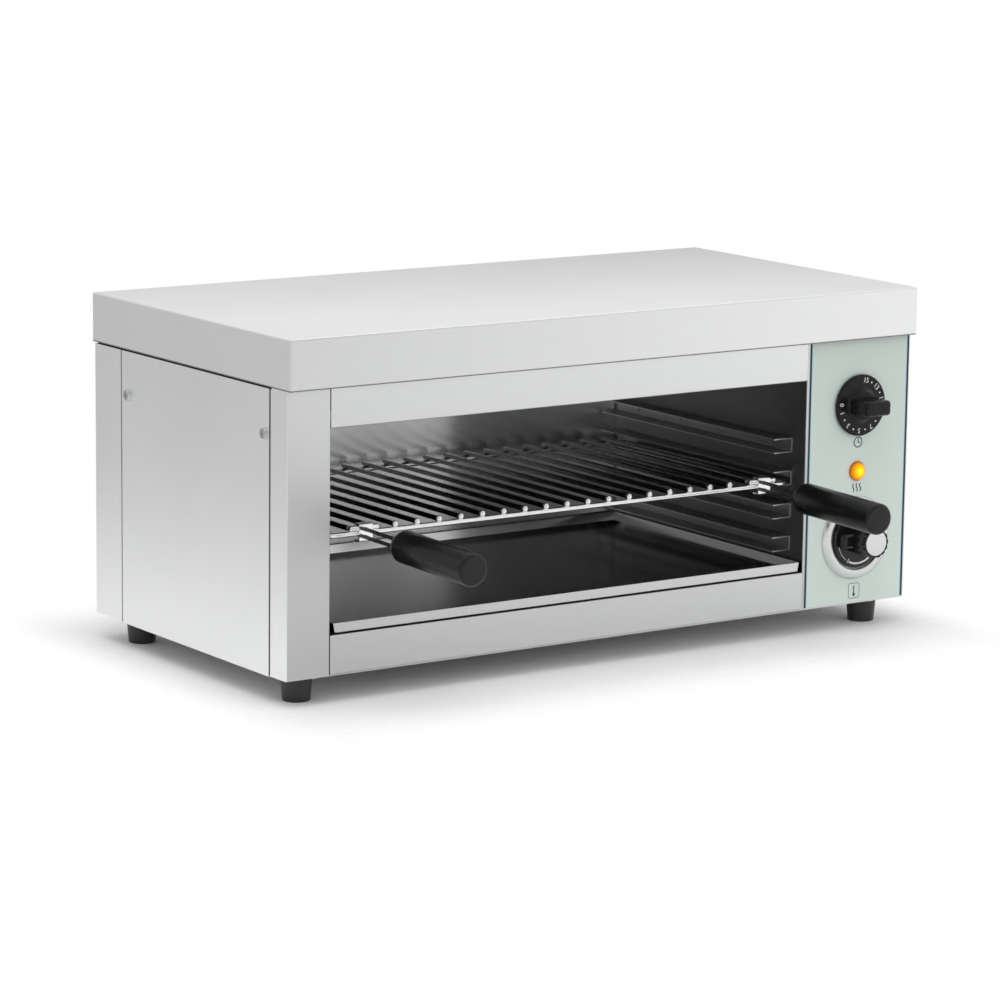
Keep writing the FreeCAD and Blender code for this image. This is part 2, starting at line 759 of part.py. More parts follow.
def build_sides():
    """Side panels and the rear panel that wraps round onto the sides."""
    start = return_end + S.panel_gap
    depth = wrap_start - S.panel_seam - start
    low = bottom - S.panel_hang
    for label, edge, way in (("side_panel_left", left, 1), ("side_panel_right", right, -1)):
        tall = side_top - low
        path = [(0, tall), (0, 0), (S.panel_lip * way, 0)]
        panel = folded("XZ_Plane", path, S.sheet, depth, (edge, start, low), way)
        holes = []
        for y in side_screw_rows:
            holes.append(screw_hole("X", (edge, y, side_screw_height)))
        node(cut(panel, holes), label)

    wide = right - left
    wrap_end = wrap_start - S.behind_flange
    path = [
        (S.sheet, wrap_end - rear), (S.sheet, wrap_start - rear), (0, wrap_start - rear), (0, 0),
        (wide, 0), (wide, wrap_start - rear), (wide - S.sheet, wrap_start - rear),
        (wide - S.sheet, wrap_end - rear)]
    back = folded("XY_Plane", path, S.sheet, under_cover - bottom, (left, rear, bottom), -1, (1, 2, 5, 6))
    tools = []
    for x in (left - S.overrun, right - S.sheet * 4):
        tools.append(box(
            (x, wrap_end - S.overrun, side_top),
            (S.overrun + S.sheet * 4, rear - wrap_end + S.overrun * 2, under_cover - side_top + S.overrun)))
    for x in (left, right):
        tools.append(screw_hole("X", (x, side_screw_rows[1], side_screw_height)))
    for x in spread(REAR_SCREWS):
        tools.append(screw_hole("Y", (x, rear, bottom + S.rear_screw_rise)))
        tools.append(screw_hole("Y", (x, rear, S.total_height - S.cover_screw_drop)))
    gland_start = (control_x, rear - S.overrun, gland_height)
    tools.append(rod("Y", gland_start, S.gland_thread + S.fit * 2, S.overrun * 2))
    for step in range(REAR_VENTS):
        tools.append(box(
            (control_x - S.vent_length / 2, rear - S.overrun, S.vent_low + S.vent_pitch * step),
            (S.vent_length, S.overrun * 2, S.vent_width)))
    node(cut(back, tools), "rear_panel")


def build_base():
    """Base plate under the whole casing, with a rear flange."""
    start = face + S.sheet
    deep = rear - S.sheet - start
    plate = folded("YZ_Plane", [(0, 0), (deep, 0), (deep, S.upstand)], S.sheet, right - left,
                   (left, start, S.foot_height), 1)
    tools = []
    for name, x, y in FEET:
        tools.append(rod("Z", (x, y, S.foot_height - S.overrun), S.foot_screw + S.fit * 2, S.overrun * 2))
    for x in spread(FRONT_SCREWS):
        tools.append(screw_hole("Z", (x, front + S.front_screw_y, S.foot_height)))
    for x in spread(REAR_SCREWS):
        tools.append(screw_hole("Y", (x, rear, bottom + S.rear_screw_rise)))
    for step in range(BASE_VENTS):
        tools.append(box(
            (control_x - S.vent_length / 2, front + S.cover_depth / 2 + S.vent_pitch * (step - BASE_VENTS),
             S.foot_height - S.overrun),
            (S.vent_length, S.vent_width, S.overrun * 2)))
    for edge in (left - S.overrun, right - S.sheet * 3):
        tools.append(box(
            (edge, wrap_start - S.behind_flange - S.overrun, bottom),
            (S.overrun + S.sheet * 3, rear - wrap_start + S.behind_flange + S.overrun, S.upstand)))
    for edge in (left - S.overrun, right - S.sheet - S.seam):
        tools.append(box(
            (edge, return_end + S.panel_gap / 2, S.foot_height - S.overrun),
            (S.overrun + S.sheet + S.seam, wrap_start - return_end - S.panel_gap / 2, S.overrun * 2)))
    node(cut(plate, tools), "base_plate")


def build_cavity():
    """Side walls, back wall, roof and floor of the grilling cavity."""
    tall = roof_height - bottom
    for label, edge, way in (("cavity_wall_left", wall_left, -1), ("cavity_wall_right", wall_right, 1)):
        path = [(0, tall), (0, 0), (S.wall_foot * way, 0)]
        wall = folded("XZ_Plane", path, S.liner, cavity_depth, (edge, cavity_start, bottom), way)
        tools = []
        if way > 0:
            start = wall_right - S.overrun
            for y in element_rows():
                at = (start, y, element_height)
                tools.append(rod("X", at, S.bushing_rod + S.fit * 2, S.overrun * 2))
            at = (start, sensor_y, sensor_z)
            tools.append(rod("X", at, S.sensor_rod + S.neck_hole * 2, S.overrun * 2))
        node(cut(wall, tools) if tools else wall, label)

    back = box((wall_left, back_wall, bottom), (wall_right - wall_left, S.liner, tall))
    node(back, "cavity_back_wall")

    roof_left = wall_left - S.liner
    roof_wide = wall_right - wall_left + S.liner * 2
    roof_start = face + S.jamb + S.seam
    roof = folded("XZ_Plane", [(0, S.roof_lip), (0, 0), (roof_wide, 0), (roof_wide, S.roof_lip)], S.liner,
                  back_wall + S.liner - roof_start, (roof_left, roof_start, roof_height), 1)
    node(roof, "cavity_roof")

    floor_top = open_bottom - S.sheet
    plate_size = (wall_right - wall_left, cavity_depth, S.liner)
    plate = box((wall_left, cavity_start, floor_top - S.liner), plate_size)
    corners = []
    for x in (wall_left - S.overrun, open_right - S.seam):
        corners.append(box(
            (x, face, floor_top - S.liner - S.overrun),
            (S.overrun + S.sheet + S.seam, S.jamb + S.seam, S.liner + S.overrun * 2)))
    rise = open_bottom + S.tray_lift - S.slide_gap - floor_top
    beads = []
    for x in (open_left + S.bead_inset, open_right - S.bead_inset - S.bead_width):
        beads.append(box(
            (x, face + S.jamb + S.bead_end, floor_top),
            (S.bead_width, cavity_depth - S.jamb - S.bead_end * 2, rise)))
    node(cut(fuse([plate] + beads), corners), "cavity_floor")


def build_tray():
    """Shallow folded drip tray whose front wall closes the gap over the sill."""
    tray_left = open_left + S.tray_play
    tray_width = open_width - S.tray_play * 2
    tray_depth = back_wall - S.tray_rear_gap - face
    tray_bottom = open_bottom + S.tray_lift
    body = new_body((tray_left, face, tray_bottom))
    outside = [(0, 0), (tray_width, 0), (tray_width, tray_depth), (0, tray_depth)]
    solid = pad(body, outline_sketch(body, "XY_Plane", outside), S.tray_rim)
    solid = round_edges(body, solid, S.tray_round, along(2, outside))
    round_edges(body, solid, S.tray_sheet, at_level(2, 0))
    hollow = box(
        (tray_left + S.tray_sheet, face + S.tray_sheet, tray_bottom + S.tray_sheet),
        (tray_width - S.tray_sheet * 2, tray_depth - S.tray_sheet * 2, S.tray_rim))
    node(cut(body, [hollow]), "drip_tray")


def build_runners():
    """Four U-shaped runners on each side wall; the top pair has slots."""
    sides = [
        ("rack_runners_left", wall_left, 1, S.runner_front_left),
        ("rack_runners_right", wall_right, -1, S.runner_front_right),
    ]
    for label, edge, way, setback in sides:
        parts = []
        start = front + setback
        stop = back_wall - S.runner_end
        length = stop - start
        for level in range(RUNNER_COUNT):
            height = open_bottom + S.runner_lift + S.runner_pitch * level
            reach = S.runner_reach * way
            path = [(reach, S.runner_rise), (0, S.runner_rise), (0, 0), (reach, 0)]
            runner = folded("XZ_Plane", path, S.runner_sheet, length, (edge, start, height), way)
            if level == RUNNER_COUNT - 1:
                slots = []
                for step in range(RUNNER_SLOTS):
                    slots.append(box(
                        (edge - S.overrun, stop - S.runner_slot_rear - S.runner_slot_pitch * step,
                         height + (S.runner_rise - S.runner_slot_length) / 2),
                        (S.overrun * 2, S.runner_slot_width, S.runner_slot_length)))
                runner = cut(runner, slots)
            parts.append(runner)
        node(group(parts), label)


rack_floor = open_bottom + S.runner_lift + S.runner_pitch * RACK_LEVEL + S.runner_sheet
rack_z = rack_floor + S.seat_gap + S.rod / 2
rack_y = front + S.rack_front
rack_depth = back_wall - S.rack_rear_gap - rack_y
rack_half = (wall_right - wall_left - S.rod) / 2 - S.runner_sheet - S.rack_play
bar_pitch = rack_half * 2 / (BAR_COUNT + 1)
handle_offset = rack_half - S.handle_inset
handle_places = [
    ("left", open_middle - handle_offset + S.handle_shift),
    ("right", open_middle + handle_offset + S.handle_shift),
]


def build_rack():
    """Wire frame with the bars laid on top of it."""
    body = new_body((open_middle, rack_y, rack_z))
    path = body.newObject("Sketcher::SketchObject", "loop")
    path.AttachmentSupport = (plane_of(body, "XY_Plane"), [""])
    path.MapMode = "FlatFace"
    half, deep, bend = rack_half.value, rack_depth.value, S.rack_corner.value
    corners = [(-half, 0), (half, 0), (half, deep), (-half, deep)]
    turns = [(180, 270), (270, 360), (0, 90), (90, 180)]
    for i, (x, y) in enumerate(corners):
        middle = Vector(x - math.copysign(bend, x), y + bend if y == 0 else y - bend, 0)
        first, last = [math.radians(angle) for angle in turns[i]]
        path.addGeometry(Part.ArcOfCircle(Part.Circle(middle, Vector(0, 0, 1), bend), first, last), False)
    ends = [((-half + bend, 0), (half - bend, 0)), ((half, bend), (half, deep - bend)),
            ((half - bend, deep), (-half + bend, deep)), ((-half, deep - bend), (-half, bend))]
    for one, two in ends:
        path.addGeometry(Part.LineSegment(Vector(*one, 0), Vector(*two, 0)), False)
    for i in range(4):
        path.addConstraint(Sketcher.Constraint("Tangent", i, 2, 4 + i, 1))
        path.addConstraint(Sketcher.Constraint("Tangent", 4 + i, 2, (i + 1) % 4, 1))
    for i, kind in ((4, "Horizontal"), (5, "Vertical"), (6, "Horizontal"), (7, "Vertical")):
        path.addConstraint(Sketcher.Constraint(kind, i))
    for i in (1, 2, 3):
        path.addConstraint(Sketcher.Constraint("Equal", 0, i))
    path.addConstraint(Sketcher.Constraint("PointOnObject", 4, 1, -1))
    held = [(Sketcher.Constraint("Radius", 0, bend), S.rack_corner),
            (Sketcher.Constraint("DistanceX", -1, 1, 5, 1, half), rack_half),
            (Sketcher.Constraint("DistanceX", -1, 1, 7, 1, -half), -rack_half),
            (Sketcher.Constraint("DistanceY", -1, 1, 6, 1, deep), rack_depth)]
    for constraint, size in held:
        index = path.addConstraint(constraint)
        path.setExpression("Constraints[%d]" % index, size.text)
    section = circle_sketch(body, "YZ_Plane", (0, 0), S.rod)
    pipe = body.newObject("PartDesign::AdditivePipe", "frame")
    pipe.Profile = section
    pipe.Spine = (path, ["Edge%d" % (i + 1) for i in range(8)])
    doc.recompute()
    node(body, "rack_frame")

    bars = []
    short = rack_y + S.rod / 2 + S.seat_gap
    usual = rack_y - S.bar_front
    end = rack_y + rack_depth + S.bar_rear
    for step in range(BAR_COUNT):
        x = open_middle + bar_pitch * (step - (BAR_COUNT - 1) / 2)
        start = usual
        for name, place_x in handle_places:
            if abs(value_of(x) - value_of(place_x)) < value_of(S.pin_length + S.rod) / 2:
                start = short
        bars.append(rod("Y", (x, start, rack_z + S.rod), S.rod, end - start))
    node(group(bars), "rack_bars")


def tip(obj, at):
    """Put a handle piece in place, its front end dipping by the droop."""
    place(obj, at, Rotation(Vector(1, 0, 0), S.droop.value))
    obj.setExpression("Placement.Rotation.Angle", "%s * 1 deg" % S.droop.text)


def build_handles():
    """Folded bracket, cross pin, hairpin wire and grip, left and right."""
    for name, x in handle_places:
        low = S.wire_spacing / 2 + S.wire / 2 + S.wire_hole * 2 + S.bracket_sheet
        top = S.rod * 1.5 + S.bracket_sheet
        bracket_face = rack_y - S.rod / 2 - S.bracket_sheet
        bracket = folded("YZ_Plane", [
            (S.bracket_lip, 0), (0, 0), (0, low + top), (S.bracket_lip, low + top)], S.bracket_sheet,
            S.bracket_width, (x - S.bracket_width / 2, bracket_face, rack_z - low), -1)
        holes = []
        for way in (-1, 1):
            holes.append(rod(
                "Y", (x, bracket_face - S.overrun, rack_z + S.wire_spacing / 2 * way),
                S.wire + S.wire_hole * 2, S.overrun + S.bracket_sheet + S.rod / 4))
        node(cut(bracket, holes), "handle_bracket_" + name)
        pin = rod("X", (x - S.pin_length / 2, rack_y, rack_z + S.rod), S.rod, S.pin_length)
        node(pin, "handle_pin_" + name)

        wire_end = front - S.grip_start - S.wire_in_grip
        length = rack_y - S.rod / 2 - wire_end
        strands = []
        for way in (-1, 1):
            strands.append(rod("Y", (0, -length, S.wire_spacing / 2 * way), S.wire, length))
        bend = doc.addObject("Part::Torus", "hairpin")
        bind(bend, "Radius1", S.wire_spacing / 2)
        bind(bend, "Radius2", S.wire / 2)
        bend.Angle3 = 180
        place(bend, (0, -length, 0), Rotation(Vector(0, 1, 0), 90) * Rotation(Vector(0, 0, 1), 180))
        wire = fuse(strands + [bend])
        tip(wire, (x, rack_y - S.rod / 2, rack_z))
        node(wire, "handle_wire_" + name)

        begin = rack_y - S.rod / 2 - (front - S.grip_start)
        grip = turned("Y", [
            (0, -begin), (S.grip_neck / 2, -begin), (S.grip_width / 2, -begin - S.grip_taper),
            (S.grip_width / 2, -begin - S.grip_length), (0, -begin - S.grip_length)],
            (0, 0, 0), [(3, S.grip_round), (2, S.grip_round), (1, S.grip_round)])
        bore = box(
            (-S.wire / 2 - S.fit, -length - S.wire_spacing, -(S.wire_spacing + S.wire) / 2 - S.fit),
            (S.wire + S.fit * 2, length + S.wire_spacing - begin + S.overrun,
             S.wire_spacing + S.wire + S.fit * 2))
        grip = cut(grip, [bore])
        tip(grip, (x, rack_y - S.rod / 2, rack_z))
        node(grip, "handle_grip_" + name)


def element_rows():
    """Places across the depth where the elements pass through the wall."""
    span = S.element_pitch * (ELEMENT_RUNS - 1)
    first = front + S.element_first
    second = first + span + S.element_gap
    return [first, first + span, second, second + span]


def build_elements():
    """Two W-shaped tubular elements with their bushings and hangers."""
    rows = element_rows()
    bend = S.element_pitch / 2
    turn_left = open_left + S.element_end
    turn_right = open_right - S.element_right
    for label, first in (("heating_element_front", rows[0]), ("heating_element_rear", rows[2])):
        parts = []
        for run in range(ELEMENT_RUNS):
            y = first + S.element_pitch * run
            outer = run in (0, ELEMENT_RUNS - 1)
            end = wall_right + S.liner + S.element_cold if outer else turn_right
            parts.append(rod("X", (turn_left, y, element_height), S.element_rod, end - turn_left))
            if outer:
                parts.append(rod("X", (end, y, element_height), S.stud_rod, S.stud_length))
        for run in range(ELEMENT_RUNS - 1):
            y = first + S.element_pitch * (run + 0.5)
            x, turn = (turn_left, 90) if run % 2 == 0 else (turn_right, -90)
            parts.append(half_ring((x, y, element_height), bend, S.element_rod, turn))
        node(fuse(parts), label)

    bushings = []
    for y in rows:
        start = wall_right - S.bushing_length
        sleeve = rod("X", (start, y, element_height), S.bushing_rod, S.bushing_length * 2 + S.liner)
        collar = rod("X", (wall_right + S.liner, y, element_height), S.bushing_collar, S.bushing_length)
        bore = rod("X", (start - S.overrun, y, element_height), S.element_rod + S.fit * 2,
                   S.bushing_length * 2 + S.liner + S.overrun * 2)
        bushings.append(cut(fuse([sleeve, collar]), [bore]))
    node(group(bushings), "element_bushings")

    begin = rows[0] - S.hanger_margin
    span = rows[3] - rows[0] + S.hanger_margin * 2
    low = element_height - S.element_rod / 2 - S.hanger_drop
    for label, x in (("element_hanger_left", open_left + S.support_inset),
                     ("element_hanger_right", open_right - S.support_inset - S.hanger_sheet)):
        plate = folded("XZ_Plane", [(0, 0), (0, roof_height - low), (S.jamb, roof_height - low)],
                       S.hanger_sheet, span, (x, begin, low), -1)
        holes = []
        for first in (rows[0], rows[2]):
            for run in range(ELEMENT_RUNS):
                holes.append(rod(
                    "X", (x - S.overrun, first + S.element_pitch * run, element_height),
                    S.element_rod + S.fit * 2, S.overrun * 2 + S.hanger_sheet))
        node(cut(plate, holes), label)


def knob_bore(height, film_face):
    """The hole for a shaft in the back of a knob."""
    return rod("Y", (control_x, film_face - S.knob_gap - S.shaft_in_knob, height),
               S.shaft + S.shaft_fit, S.shaft_in_knob + S.overrun)


def grip_bar(length, width, reach, at):
    """A bar with rounded ends that stands out of a knob towards the front."""
    body = new_body(at)
    half, side = length / 2, width / 2
    corners = [(-half, -side), (half, -side), (half, side), (-half, side)]
    solid = pad(body, outline_sketch(body, "XZ_Plane", corners), reach)
    solid = round_edges(body, solid, width * 0.3, along(1, corners))
    round_edges(body, solid, S.knob_round, at_level(1, -reach))
    return body


def build_timer():
    """Knob, shaft and clockwork of the timer."""
    film_face = face - S.film
    knob_back = film_face - S.knob_gap
    disc = turned("Y", [
        (0, 0), (S.timer_disc / 2, 0), (S.timer_disc / 2, -S.timer_disc_thick),
        (S.timer_hub / 2, -S.timer_disc_thick),
        (S.timer_grip_length / 2, -S.timer_disc_thick - S.timer_hub_rise),
        (0, -S.timer_disc_thick - S.timer_hub_rise)],
        (control_x, knob_back, timer_height), [(2, S.knob_round)])
    bar = grip_bar(S.timer_grip_length, S.timer_grip_width, S.timer_reach,
                   (control_x, knob_back, timer_height))
    node(cut(fuse([disc, bar]), [knob_bore(timer_height, film_face)]), "timer_knob")
    shaft_node("timer_shaft", timer_height, knob_back)

    behind = face + S.sheet
    case = box(
        (control_x - S.timer_box_width / 2, behind, timer_height - S.timer_box_height / 2),
        (S.timer_box_width, S.timer_box_depth, S.timer_box_height))
    tabs = terminal_tabs(timer_height, behind + S.timer_box_depth, S.tab_spread, S.tab_width)
    collar = rod("Y", (control_x, film_face, timer_height), S.neck, behind - film_face)
    node(cut(fuse([case, collar] + tabs), [shaft_bore(timer_height, behind)]), "timer_clockwork")


def shaft_bore(height, behind):
    return rod("Y", (control_x, face - S.overrun, height), S.shaft + S.shaft_fit * 2,
               behind - face + S.overrun + S.shaft_in_body + S.seat_gap)


def shaft_node(label, height, knob_back):
    """A control shaft from inside the knob to inside the control."""
    start = knob_back - S.shaft_in_knob + S.seat_gap
    end = face + S.sheet + S.shaft_in_body
    node(rod("Y", (control_x, start, height), S.shaft, end - start), label)


def terminal_tabs(height, back, spread, width):
    """Two blade terminals on the back of a control."""
    tabs = []
    for way in (-1, 1):
        tabs.append(box(
            (control_x + spread * way - width / 2, back, height - S.tab_thick / 2),
            (width, S.tab_length, S.tab_thick)))
    return tabs


def build_thermostat():
    """Knob, end disc, bezel, shaft, body and sensor of the thermostat."""
    film_face = face - S.film
    knob_back = film_face - S.knob_gap
    grip_end = -S.thermostat_reach
    disc = turned("Y", [
        (0, 0), (S.thermostat_disc / 2, 0), (S.thermostat_disc / 2, -S.thermostat_disc_thick),
        (S.thermostat_grip / 2, -S.thermostat_disc_thick), (S.thermostat_grip / 2, grip_end),
        (S.cap_width / 2, grip_end), (S.cap_width / 2, grip_end + S.cap_thick), (0, grip_end + S.cap_thick)],
        (control_x, knob_back, thermostat_height), [(2, S.knob_round)])
    bar = grip_bar(S.thermostat_bar_length, S.thermostat_bar_width, S.thermostat_bar_reach,
                   (control_x, knob_back, thermostat_height))
    node(cut(fuse([disc, bar]), [knob_bore(thermostat_height, film_face)]), "thermostat_knob")
    cap_start = (control_x, knob_back + grip_end, thermostat_height)
    cap = rod("Y", cap_start, S.cap_width - S.fit * 2, S.cap_thick)
    node(cap, "thermostat_knob_cap")
    shaft_node("thermostat_shaft", thermostat_height, knob_back)

    bezel = turned("Y", [
        (S.bezel_width / 2, 0), (S.bezel_width / 2, -S.bezel_reach),
        (S.bezel_width / 2 - S.bezel_rim, -S.bezel_reach), (S.bezel_inside / 2, -S.bezel_sheet),
        (S.bezel_inside / 2, 0)],
        (control_x, film_face, thermostat_height))
    node(bezel, "thermostat_bezel")

    behind = face + S.sheet
    can = rod("Y", (control_x, behind, thermostat_height), S.thermostat_can, S.thermostat_depth)
    collar = rod("Y", (control_x, film_face, thermostat_height), S.neck, behind - film_face)
    tabs = terminal_tabs(thermostat_height, behind + S.thermostat_depth, S.tab_spread, S.tab_width)
    node(cut(fuse([can, collar] + tabs), [shaft_bore(thermostat_height, behind)]), "thermostat_body")

    start_y = behind + S.thermostat_depth
    sensor_x = wall_right + S.capillary_bend - S.sensor_length
    rise_x = control_x + S.thermostat_can / 4
    bay_x = control_x + S.thermostat_can / 2 + S.capillary_bend
    points = [
        (rise_x, start_y, thermostat_height + S.thermostat_can / 4),
        (rise_x, start_y + S.capillary_bend * 2, thermostat_height + S.thermostat_can / 4),
        (bay_x, start_y + S.capillary_bend * 4, sensor_z),
        (bay_x, sensor_y, sensor_z),
        (sensor_x + S.sensor_length, sensor_y, sensor_z)]
    capillary = doc.addObject("Part::Feature", "capillary")
    capillary.Shape = bent_tube(points, S.capillary, S.capillary_bend * 0.8)
    bulb = rod("X", (sensor_x, sensor_y, sensor_z), S.sensor_rod, S.sensor_length)
    node(fuse([capillary, bulb]), "thermostat_sensor")


sensor_y = back_wall - S.sensor_rod * 2
sensor_z = roof_height - S.sensor_rod / 2 - S.sensor_drop


def build_lamp():
    """Amber dome, holder and nut of the pilot lamp."""
    film_face = face - S.film
    dome_base = film_face - S.lamp_rim_thick
    dome = doc.addObject("Part::Ellipsoid", "dome")
    bind(dome, "Radius1", S.lamp_dome)
    bind(dome, "Radius2", S.lamp_width / 2)
    bind(dome, "Radius3", S.lamp_width / 2)
    dome.Angle1 = 0
    dome.Angle2 = 90
    place(dome, (control_x, dome_base, lamp_height), Rotation(Vector(1, 0, 0), 90))
    node(dome, "pilot_lamp_lens")
    rim = rod("Y", (control_x, dome_base, lamp_height), S.lamp_rim, S.lamp_rim_thick)
    barrel = rod("Y", (control_x, film_face, lamp_height), S.lamp_body, S.lamp_depth)
    tabs = terminal_tabs(lamp_height, film_face + S.lamp_depth, S.lamp_body / 4, S.lamp_body / 4)
    node(fuse([rim, barrel] + tabs), "pilot_lamp_holder")
    behind = face + S.sheet
    nut = hexagon("Y", (control_x, behind, lamp_height), S.lamp_nut, S.lamp_nut_thick)
    hole = rod("Y", (control_x, behind - S.overrun, lamp_height), S.lamp_body + S.fit * 2,
               S.lamp_nut_thick + S.overrun * 2)
    node(cut(nut, [hole]), "pilot_lamp_nut")


block_x = control_x - S.block_width / 2
block_y = rear - S.block_from_back - S.block_depth


def build_wiring():
    """Terminal block, cable gland, earth stud and the leads between them."""
    block = box((block_x, block_y, bottom), (S.block_width, S.block_depth, S.block_height))
    tools = []
    for way in range(BLOCK_WAYS):
        x = block_way(way)
        tools.append(rod("Y", (x, block_y - S.overrun, bottom + S.block_height / 2), S.block_hole,
                         S.block_depth + S.overrun * 2))
        for share in (0.3, 0.7):
            tools.append(rod("Z", (x, block_y + S.block_depth * share, bottom + S.block_height / 2),
                             S.block_screw, S.block_height))
    node(cut(block, tools), "terminal_block")

    outer = hexagon("Y", (control_x, rear, gland_height), S.gland_hex, S.gland_hex_thick)
    nose_reach = S.gland_reach - S.gland_hex_thick
    nose = turned("Y", [
        (0, 0), (S.gland_nose / 2, 0), (S.gland_nose / 2, nose_reach), (0, nose_reach)],
        (control_x, rear + S.gland_hex_thick, gland_height), [(2, S.foot_round)])
    thread = rod("Y", (control_x, rear - S.gland_thread_length, gland_height), S.gland_thread,
                 S.gland_thread_length)
    bore = rod("Y", (control_x, rear - S.gland_thread_length - S.overrun, gland_height), S.gland_bore,
               S.gland_thread_length + S.gland_reach + S.overrun * 2)
    node(cut(fuse([outer, nose, thread]), [bore]), "cable_gland")
    nut = hexagon("Y", (control_x, rear - S.sheet - S.gland_nut_thick, gland_height), S.gland_nut,
                  S.gland_nut_thick)
    hole = rod("Y", (control_x, rear - S.sheet - S.gland_nut_thick - S.overrun, gland_height),
               S.gland_thread + S.fit * 2, S.gland_nut_thick + S.overrun * 2)
    node(cut(nut, [hole]), "gland_lock_nut")

    earth_x, earth_y = block_x - S.earth_nut * 1.5, block_y
    stud = rod("Z", (earth_x, earth_y, bottom), S.earth_screw, S.earth_length)
    flats = hexagon("Z", (earth_x, earth_y, bottom), S.earth_nut, S.nut_thick)
    node(fuse([stud, flats]), "earth_stud")

    parts = []
    for points in lead_paths():
        lead = doc.addObject("Part::Feature", "lead")
        lead.Shape = bent_tube(points, S.lead, S.lead_bend)
        parts.append(lead)
    node(group(parts), "internal_leads")


def lead_paths():
    """Corner points of the leads in the control bay."""
    middle = bottom + S.block_height / 2
    ahead = block_y + S.block_depth * 0.2
    turn_y = block_y - S.lead_rise * 2
    timer_tab = face + S.sheet + S.timer_box_depth + S.tab_length
    heat_tab = face + S.sheet + S.thermostat_depth + S.tab_length
    lamp_tab = face - S.film + S.lamp_depth + S.tab_length
    low_x = control_x - S.tab_spread
    high_x = control_x + S.tab_spread
    lamp_x = control_x - S.lamp_body / 4
    stud_x = wall_right + S.liner + S.element_cold + S.stud_length
    high = element_height
    rows = element_rows()
    paths = []
    for way, x, y, z in ((0, low_x, timer_tab, timer_height), (2, high_x, heat_tab, thermostat_height)):
        paths.append([
            (block_way(way), ahead, middle), (block_way(way), turn_y, middle),
            (block_way(way), turn_y, z - S.lead_rise), (x, y + S.lead_rise * 2, z), (x, y, z)])
    paths.append([
        (lamp_x, lamp_tab, lamp_height), (lamp_x, lamp_tab + S.lead_reach, lamp_height),
        (block_way(1), lamp_tab + S.lead_reach, middle), (block_way(1), ahead, middle)])
    paths.append([
        (high_x, timer_tab, timer_height), (high_x, timer_tab + S.lead_rise * 2, timer_height),
        (high_x, timer_tab + S.lead_rise * 2, high), (high_x, rows[0], high), (stud_x, rows[0], high)])
    paths.append([
        (stud_x, rows[1], high), (stud_x + S.lead_rise, rows[1], high),
        (stud_x + S.lead_rise, rows[2], high), (stud_x, rows[2], high)])
    rise_y = (rows[2] + rows[3]) / 2
    paths.append([
        (low_x, heat_tab, thermostat_height), (low_x, rise_y, thermostat_height), (low_x, rise_y, high),
        (low_x, rows[3], high), (stud_x, rows[3], high)])
    return paths


def block_way(way):
    """Middle of one way of the terminal block."""
    return block_x + S.block_width * ((way + 0.5) / BLOCK_WAYS)


def build_feet():
    """Rubber feet, each held by a screw in its recess and a nut over the base plate."""
    screws, nuts = [], []
    for name, x, y in FEET:
        foot = turned("Z", [
            (0, 0), (S.foot_bottom / 2, 0), (S.foot_top / 2, S.foot_height), (0, S.foot_height)],
            (x, y, 0), [(1, S.foot_round)])
        recess = rod("Z", (x, y, -S.overrun), S.foot_bore, S.foot_height - S.foot_floor + S.overrun)
        hole = rod("Z", (x, y, 0), S.foot_screw + S.fit * 2, S.foot_height + S.overrun)
        node(cut(foot, [recess, hole]), "foot_" + name)
        seat = S.foot_height - S.foot_floor
        screws.append(pan_screw("Z", -1, (x, y, seat), S.foot_screw_head, S.small_head_thick, S.foot_screw,
                                S.foot_floor + S.sheet + S.nut_thick * 1.5))
        nut = hexagon("Z", (x, y, bottom), S.foot_nut, S.nut_thick)
        bore = rod("Z", (x, y, bottom - S.overrun), S.foot_screw + S.fit, S.nut_thick + S.overrun * 2)
        nuts.append(cut(nut, [bore]))
    node(group(screws), "foot_screws")
    node(group(nuts), "foot_nuts")


def build_screws():
    """Pan-head screws of the side panels, the front edge, the rear panel and the cover."""
    sides = []
    for edge, way in ((left, -1), (right, 1)):
        for y in side_screw_rows:
            sides.append(pan_screw("X", way, (edge, y, side_screw_height), S.side_head,
                                   S.side_head_thick, S.screw, S.screw_length))
    node(group(sides), "side_panel_screws")

    fronts = []
    for x in spread(FRONT_SCREWS):
        fronts.append(pan_screw("Z", -1, (x, front + S.front_screw_y, S.foot_height), S.small_head,
                                S.small_head_thick, S.screw, S.screw_length))
    node(group(fronts), "front_edge_screws")

    rears, covers = [], []
    for x in spread(REAR_SCREWS):
        rears.append(pan_screw("Y", 1, (x, rear, bottom + S.rear_screw_rise), S.small_head,
                               S.small_head_thick, S.screw, S.screw_length))
        covers.append(pan_screw("Y", 1, (x, front + S.cover_depth, S.total_height - S.cover_screw_drop),
                                S.small_head, S.small_head_thick, S.screw, S.screw_length))
    node(group(rears), "rear_panel_screws")
    node(group(covers), "cover_screws")


def check_and_write():
    """Stop on any failed object, then write each part to its own file."""
    doc.recompute()
    for obj in doc.Objects:
        if "Invalid" in obj.State or "Error" in obj.State:
            raise RuntimeError("%s (%s) failed: %s" % (obj.Name, obj.Label, obj.State))
    os.makedirs("parts", exist_ok=True)
    for obj in NODES:
        shape = obj.Shape
        if shape.isNull() or not shape.isValid() or not shape.Solids:
            raise RuntimeError("%s has no valid solid" % obj.Label)
        shape.exportStep(os.path.join("parts", obj.Label + ".step"))
    print("%d parts written" % len(NODES))


for build in (build_cover, build_front, build_sides, build_base, build_cavity, build_tray, build_runners,
              build_rack, build_handles, build_elements, build_timer, build_thermostat, build_lamp,
              build_wiring, build_feet, build_screws):
    build()
check_and_write()
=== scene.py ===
"""Dresses the counter-top cheese melter: finishes, detailed pieces, floor, light and camera."""
import logging
import math
from dataclasses import dataclass, field
from enum import Enum
from typing import Callable, Iterable, Sequence

